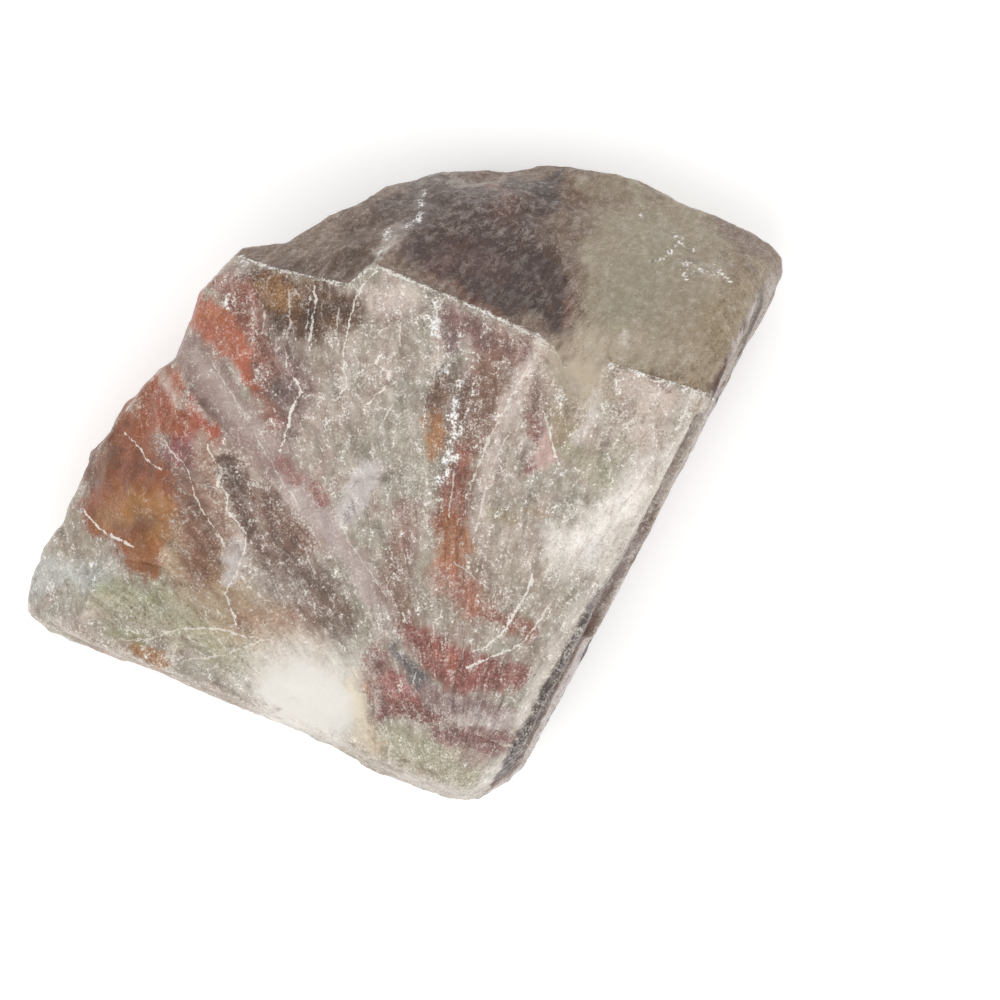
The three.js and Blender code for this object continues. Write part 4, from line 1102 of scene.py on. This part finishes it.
calciteLook = {
    "halfSpan": 40.0,  # the stone lies within this distance of its centre
    # noise: waves in a millimetre, detail, roughness
    "strayNoise": (0.9, 4.0, 0.68),
    "streakNoise": (1.15, 4.0, 0.65),
    "mottleNoise": (1.15, 4.0, 0.7),
    "grainNoise": (4.4, 3.0, 0.75),
    "lineStray": 1.5,
    # how strongly these show on the roof, where the front has them in full
    "roofWhites": 0.8,
    "roofDarks": 1.5,
    "roofSugar": 0.25,
    "roofCracks": 0.15,
    "roofBruiseHighlights": 0.2,
    "roofRelief": 1.5,
    # ramps: from, to, and the values there where they aren't 0 and 1
    "bandFray": (0.46, 0.54),
    "creaseWobble": 0.7,
    "creaseReach": (0.0, 1.0, 0.1, 2.2),
    "darkStreaks": (0.5, 0.32, 0.0, 0.55),
    "darkMottle": (0.48, 0.32, 0.0, 0.38),
    "darkGrain": (0.5, 0.32, 0.0, 0.75),
    "paleStreaks": (0.53, 0.68, 0.0, 0.4),
    "paleMottle": (0.53, 0.68, 0.0, 0.3),
    "sugar": (0.55, 0.64),
    "sugarPatches": (0.0, 1.0, 0.15, 0.8),
    "specks": (0.65, 0.7, 0.0, 0.8),
    # loose crystals stand where the lumps and the crystal attribute add up to enough
    "lumpShares": (0.3, 0.35, 0.35),
    "crystalLift": 0.13,
    "crystals": (0.655, 0.7),
    "crystalEdge": (0.05, 0.2),
    "crystalFacets": (0.4, 0.6),
    "crystalShade": (0.6, 0.54),
    "crystalShadeEdge": (0.4, 1.0, 0.0, 0.6),
    # webs of cracks: scale, width and amount
    "looseWeb": (0.4, 0.055, 0.9),
    "fineWeb": (0.95, 0.06, 0.6),
    "webStretch": 2.0,
    "webPatches": (0.45, 0.56),
    "broken": (0.4, 0.56),
    "strandAt": 0.54,  # the strands lie where the streaks have this value
    "strandWidth": (0.004, 0.018, 0.9, 0.0),
    # scratches on the roof: the streaks' value there, tone, amount
    "scratches": [(0.56, "frost", 0.25), (0.45, "bistre", 0.5)],
    "scratchWidth": (0.004, 0.022),
    "scratchRoof": (0.5, 1.0),
    "hairStray": 0.6,
    "hairWidth": (0.3, 0.7, 0.25, 1.5),
    "hairBroken": (0.42, 0.5),
    "hairEnd": 0.003,  # past its ends a hairline drops away within this share of the span
    "creaseLevel": (0.2, 0.5),
    "creaseWidth": 1.6,
    # painted highlight together with bruised frost: the white line along the crease
    "creaseHighlightLine": (0.05, 0.14, 1.0, 0.0),
    "creaseCrisp": (0.0, 0.6, 1.0, 0.0),
    # painted highlight together with bruised frost: standing edges are whitened
    "bruiseHighlights": (0.4, 1.0),
    "bruiseHighlightGrain": (0.42, 0.58, 0.1, 0.75),
    # painted shade: hollows are darkened towards the smoky tone
    "fineHollowShade": (-1.0, -0.25, 0.4, 0.0),
    "broadHollowShade": (-1.0, -0.3, 0.25, 0.0),
    "roughness": (0.35, 0.65, 0.36, 0.62),
    "sugarRoughness": 0.15,
    "grainRelief": 0.55,
    "streakRelief": 1.2,
    "reliefStrength": 0.55,
    "reliefDepth": 0.25,
    "shader": {
        "IOR": 1.55,
        "Specular IOR Level": 0.5,
        "Subsurface Weight": 0.25,
        "Subsurface Radius": (1.0, 0.8, 0.65),
        "Subsurface Scale": 1.2 * mm,
        "Coat Weight": 0.12,
        "Coat Roughness": 0.22,
    },
}
middle = 0.5  # the middle of a noise's range


# The fields that the parts of the material share
def makeFields(kit, look):
    fields = SimpleNamespace()
    source = kit.add("ShaderNodeTexCoord").outputs["Object"]
    fields.place = kit.vectorMath("SCALE", source, 1.0 / mm)
    stray = kit.noise(fields.place, *look["strayNoise"])["Color"]
    stray = kit.vectorMath("SUBTRACT", stray, (middle, middle, middle))
    fields.stray = kit.vectorMath("SCALE", stray, look["lineStray"])
    fields.flow = kit.read("flow", "Vector")
    fields.streaks = kit.noise(fields.flow, *look["streakNoise"])["Fac"]
    fields.mottle = kit.noise(fields.place, *look["mottleNoise"])["Fac"]
    fields.grain = kit.noise(fields.place, *look["grainNoise"])["Fac"]
    return fields


# 1 on the front, the amount on the roof
def lessOnRoof(kit, fields, amount):
    return kit.ramp(fields.onRoof, 0.0, 1.0, 1.0, amount)


# The bands, frayed into each other
def layBase(kit, fields, look):
    fray = kit.ramp(fields.grain, *look["bandFray"])
    front, roof = [
        kit.blend(fray, kit.read(side + "Near", "Color"), kit.read(side + "Far", "Color"))
        for side in ("front", "roof")
    ]
    wobble = kit.times(kit.minus(fields.mottle, middle), look["creaseWobble"])
    fields.beyond = kit.plus(kit.read("beyondCrease"), wobble)
    fields.blur = kit.read("creaseBlur")
    reach = kit.ramp(fields.blur, *look["creaseReach"])
    fields.onRoof = kit.ramp(fields.beyond, kit.times(reach, -1.0), reach)
    return kit.blend(fields.onRoof, front, roof)


# Cloudy patches and long streaks, darker and paler
def layClouds(kit, fields, look, colour):
    fields.whites = kit.times(kit.read("whites"), lessOnRoof(kit, fields, look["roofWhites"]))
    darks = kit.times(kit.read("darks"), lessOnRoof(kit, fields, look["roofDarks"]))
    long = kit.ramp(fields.streaks, *look["darkStreaks"])
    dark = kit.plus(long, kit.ramp(fields.mottle, *look["darkMottle"]))
    dark = kit.plus(dark, kit.ramp(fields.grain, *look["darkGrain"]))
    dark = kit.calculate("MINIMUM", kit.times(dark, darks), 1.0)
    colour = kit.blend(dark, colour, tone("shade"), "MULTIPLY")
    pale = kit.times(kit.ramp(fields.streaks, *look["paleStreaks"]), fields.whites)
    colour = kit.blend(pale, colour, tone("lilacLight"))
    pale = kit.times(kit.ramp(fields.mottle, *look["paleMottle"]), fields.whites)
    return kit.blend(pale, colour, tone("frost"))


# Sugary grain, white specks and loose crystals, among them painted glints on the roof and a painted
# highlight on the lavender chip
def layGrain(kit, fields, look, colour):
    fields.frosted = kit.read("frostPatch")
    sugar = kit.ramp(fields.grain, *look["sugar"])
    sugar = kit.times(sugar, kit.ramp(fields.frosted, *look["sugarPatches"]))
    fields.sugar = kit.times(sugar, lessOnRoof(kit, fields, look["roofSugar"]), fields.whites)
    colour = kit.blend(fields.sugar, colour, tone("frost"))
    specks = kit.times(kit.ramp(fields.grain, *look["specks"]), fields.whites)
    colour = kit.blend(specks, colour, tone("palest"))
    parts = zip((fields.streaks, fields.mottle, fields.grain), look["lumpShares"])
    fields.lumps = kit.plus(*[kit.times(field, share) for field, share in parts])
    crystal = kit.read("crystal")
    whiteness = kit.plus(fields.lumps, kit.times(crystal, look["crystalLift"]))
    share = kit.times(kit.ramp(whiteness, *look["crystals"]), kit.ramp(crystal, *look["crystalEdge"]))
    facets = kit.ramp(fields.mottle, *look["crystalFacets"])
    facets = kit.blend(facets, tone("crystalGrey"), tone("crystal"))
    colour = kit.blend(share, colour, facets)
    shade = kit.ramp(whiteness, *look["crystalShade"])
    shade = kit.times(shade, kit.ramp(crystal, *look["crystalShadeEdge"]))
    return kit.blend(shade, colour, tone("slateDark"))


def crackMask(kit, group, place, scale, width):
    web = kit.add("ShaderNodeGroup", node_tree=group)
    for name, value in (("Place", place), ("Scale", scale), ("Width", width)):
        kit.feed(web.inputs[name], value)
    return web.outputs[0]


# White cracks: a loose web and single strands along the streaks, and a fine web in patches
def layCracks(kit, fields, look, colour):
    group = makeCrackGroup()
    alongX, alongY, alongZ = kit.split(kit.vectorMath("ADD", fields.flow, fields.stray))
    tall = kit.flat(kit.plus(alongX, alongZ), kit.plus(kit.times(alongY, look["webStretch"]), alongZ))
    lineX, lineY, lineZ = kit.split(kit.vectorMath("ADD", fields.place, fields.stray))
    even = kit.flat(kit.plus(lineX, lineZ), kit.minus(lineY, lineZ))
    fields.broken = kit.ramp(fields.grain, *look["broken"])
    drawn = kit.times(lessOnRoof(kit, fields, look["roofCracks"]), fields.whites)
    drawn = kit.times(fields.broken, drawn)
    patchy = kit.ramp(fields.mottle, *look["webPatches"])
    webs = {"looseWeb": (tall, patchy, "white"), "fineWeb": (even, fields.frosted, "frost")}
    for kind, (place, where, name) in webs.items():
        scale, width, amount = look[kind]
        web = kit.times(crackMask(kit, group, place, scale, width), where, drawn, amount)
        colour = kit.blend(web, colour, tone(name))
    strand = kit.ramp(kit.size(kit.minus(fields.streaks, look["strandAt"])), *look["strandWidth"])
    return kit.blend(kit.times(strand, patchy, drawn), colour, tone("white"))


# The roof's slanting scratches, pale and dark
def layScratches(kit, fields, look, colour):
    scratched = kit.times(kit.ramp(fields.onRoof, *look["scratchRoof"]), kit.read("scratches"))
    for value, name, amount in look["scratches"]:
        scratch = kit.size(kit.minus(fields.streaks, value))
        scratch = kit.times(kit.ramp(scratch, *look["scratchWidth"], amount, 0.0), scratched)
        colour = kit.blend(scratch, colour, tone(name))
    return colour


# The single hairlines: each is a curve from one flat coordinate to the other
def layHairlines(kit, fields, look, colour):
    span, end = look["halfSpan"], look["hairEnd"]
    widen = kit.ramp(fields.mottle, *look["hairWidth"])
    bent = kit.vectorMath("ADD", fields.place, kit.vectorMath("SCALE", fields.stray, look["hairStray"]))
    spots = [kit.calculate("MULTIPLY_ADD", part, 0.5 / span, 0.5) for part in kit.split(bent)[:2]]
    total = None
    for half, amount, line in hairlines.values():
        spans = [abs(line[0][axis] - line[-1][axis]) for axis in (0, 1)]
        given, found = (0, 1) if spans[0] > spans[1] else (1, 0)
        path = sorted(((p[given] / span + 1) / 2, (p[found] / span + 1) / 2) for p in line)
        path = [(path[0][0] - end, 0.0), *path, (path[-1][0] + end, 0.0)]
        trace = kit.add("ShaderNodeFloatCurve")
        curve = trace.mapping.curves[0]
        while len(curve.points) < len(path):
            curve.points.new(0.5, 0.5)
        for point, spot in zip(curve.points, path):
            point.location = spot
            point.handle_type = "VECTOR"
        trace.mapping.update()
        kit.feed(trace.inputs["Value"], spots[given])
        reach = kit.times(widen, half * 0.5 / span)
        mask = kit.calculate("COMPARE", spots[found], trace.outputs[0], reach)
        mask = kit.times(mask, amount)
        total = kit.calculate("MAXIMUM", total, mask) if total else mask
    share = kit.times(total, kit.ramp(fields.lumps, *look["hairBroken"]))
    share = kit.times(share, lessOnRoof(kit, fields, look["roofCracks"]))
    return kit.blend(share, colour, tone("palest"))


# The crease between the front and the roof gets a white line, painted highlight together with bruised
# frost, save on walls and in the hollow
def layCreaseHighlightAndFrost(kit, fields, look, colour):
    facing = kit.split(kit.add("ShaderNodeNewGeometry").outputs["Normal"])
    level = kit.ramp(kit.size(facing["Z"]), *look["creaseLevel"])
    width = kit.times(kit.minus(fields.mottle, middle), look["creaseWidth"])
    line = kit.ramp(kit.minus(kit.size(fields.beyond), width), *look["creaseHighlightLine"])
    line = kit.times(line, kit.ramp(fields.blur, *look["creaseCrisp"]), level, fields.broken)
    return kit.blend(line, colour, tone("white"))


# Standing edges are whitened, painted highlight together with bruised frost; hollows get painted shade,
# darkened towards the smoky tone
def layEdgeHighlightAndHollowShade(kit, fields, look, colour):
    fine, broad = kit.read("edgeFine"), kit.read("edgeBroad")
    bruiseAndHighlight = kit.times(kit.ramp(fine, *look["bruiseHighlights"]), kit.ramp(fields.grain, *look["bruiseHighlightGrain"]))
    bruiseAndHighlight = kit.times(bruiseAndHighlight, lessOnRoof(kit, fields, look["roofBruiseHighlights"]), kit.read("whites"))
    colour = kit.blend(bruiseAndHighlight, colour, tone("frost"))
    # painted shade in the fine and broad hollows
    colour = kit.blend(kit.ramp(fine, *look["fineHollowShade"]), colour, tone("smoky"))
    return kit.blend(kit.ramp(broad, *look["broadHollowShade"]), colour, tone("smoky"))


def makeRelief(kit, fields, look):
    relief = kit.times(fields.grain, look["grainRelief"])
    relief = kit.plus(relief, kit.times(fields.streaks, look["streakRelief"]))
    bump = kit.add("ShaderNodeBump")
    bump.inputs["Strength"].default_value = look["reliefStrength"]
    bump.inputs["Distance"].default_value = look["reliefDepth"] * mm
    relief = kit.times(relief, lessOnRoof(kit, fields, look["roofRelief"]), kit.read("calm"))
    kit.feed(bump.inputs["Height"], relief)
    return bump.outputs["Normal"]


def makeCalcite(look):
    material = bpy.data.materials.new("banded calcite")
    material.use_nodes = True
    material.node_tree.nodes.clear()
    kit = NodeKit(material.node_tree)
    fields = makeFields(kit, look)
    colour = layBase(kit, fields, look)
    for lay in (layClouds, layGrain, layCracks, layScratches, layHairlines, layCreaseHighlightAndFrost, layEdgeHighlightAndHollowShade):
        colour = lay(kit, fields, look, colour)
    rough = kit.ramp(fields.mottle, *look["roughness"])
    rough = kit.plus(rough, kit.times(fields.sugar, look["sugarRoughness"]))
    relief = makeRelief(kit, fields, look)
    shader = kit.add("ShaderNodeBsdfPrincipled")
    kit.feed(shader.inputs["Base Color"], colour)
    kit.feed(shader.inputs["Roughness"], rough)
    kit.feed(shader.inputs["Normal"], relief)
    for name, value in look["shader"].items():
        shader.inputs[name].default_value = value
    kit.feed(kit.add("ShaderNodeOutputMaterial").inputs["Surface"], shader.outputs[0])
    return material


studio = {
    "floorSize": 3.0,  # in metres, as are the lights' places and sizes
    "floorTone": (0.93, 0.93, 0.93, 1.0),
    "floorGlow": 0.22,
    "floorRoughness": 0.9,
    "floorShine": 0.1,
    "worldTone": (1.0, 1.0, 1.0, 1.0),
    "worldStrength": 0.8,
    "viewCentre": (9.6, -1.9),  # the point of the stone under the middle of the frame
    "eyeHeight": 714.4,
    "lens": 250.0,
    "sensor": 36.0,
    "clip": (0.05, 10.0),
    "lightAim": (0.0, 0.0, 0.015),
    # place, size and power
    "lights": {
        "keyLight": ((-0.5, -0.6, 0.95), 1.4, 6.5),
        "rightFill": ((0.9, -0.25, 0.5), 0.6, 1.6),
        "backFill": ((0.45, 0.8, 0.8), 0.8, 1.6),
    },
}


def makeFloor(settings):
    mesh = bpy.data.meshes.new("studioFloor")
    plate = bmesh.new()
    bmesh.ops.create_grid(plate, x_segments=1, y_segments=1, size=settings["floorSize"] / 2)
    plate.to_mesh(mesh)
    plate.free()
    floor = bpy.data.objects.new("studioFloor", mesh)
    bpy.context.scene.collection.objects.link(floor)
    material = bpy.data.materials.new("studio paper")
    material.use_nodes = True
    paper = material.node_tree.nodes["Principled BSDF"]
    paper.inputs["Base Color"].default_value = settings["floorTone"]
    paper.inputs["Roughness"].default_value = settings["floorRoughness"]
    paper.inputs["Specular IOR Level"].default_value = settings["floorShine"]
    paper.inputs["Emission Color"].default_value = settings["floorTone"]
    paper.inputs["Emission Strength"].default_value = settings["floorGlow"]
    mesh.materials.append(material)


def makeSoftLight(name, place, size, power, target):
    light = bpy.data.lights.new(name, "AREA")
    light.shape = "DISK"
    light.size = size
    light.energy = power
    lamp = bpy.data.objects.new(name, light)
    lamp.location = place
    aim = Vector(target) - Vector(place)
    lamp.rotation_euler = aim.to_track_quat("-Z", "Y").to_euler()
    bpy.context.scene.collection.objects.link(lamp)


def makeStudio(settings):
    scene = bpy.context.scene
    makeFloor(settings)
    for name, (place, size, power) in settings["lights"].items():
        makeSoftLight(name, place, size, power, settings["lightAim"])
    world = bpy.data.worlds.new("studioWorld")
    scene.world = world
    world.use_nodes = True
    sky = world.node_tree.nodes["Background"]
    sky.inputs["Color"].default_value = settings["worldTone"]
    sky.inputs["Strength"].default_value = settings["worldStrength"]
    camera = bpy.data.cameras.new("overheadCamera")
    camera.lens = settings["lens"]
    camera.sensor_width = settings["sensor"]
    camera.clip_start, camera.clip_end = settings["clip"]
    eye = bpy.data.objects.new("overheadCamera", camera)
    centreX, centreY = settings["viewCentre"]
    eye.location = (centreX * mm, centreY * mm, settings["eyeHeight"] * mm)
    scene.collection.objects.link(eye)
    scene.camera = eye
    scene.view_settings.view_transform = "Standard"


print("stone: fine surface")
stone = fineCopy(block)
print("stone: working", len(stone.data.vertices), "points")
workSurface(stone, block)
print("stone: laying the bands")
paintPoints(stone, paint)
stone.data.materials.clear()
stone.data.materials.append(makeCalcite(calciteLook))
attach(stone, "root")
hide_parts(block["node"])

print("studio")
makeStudio(studio)

print("done")
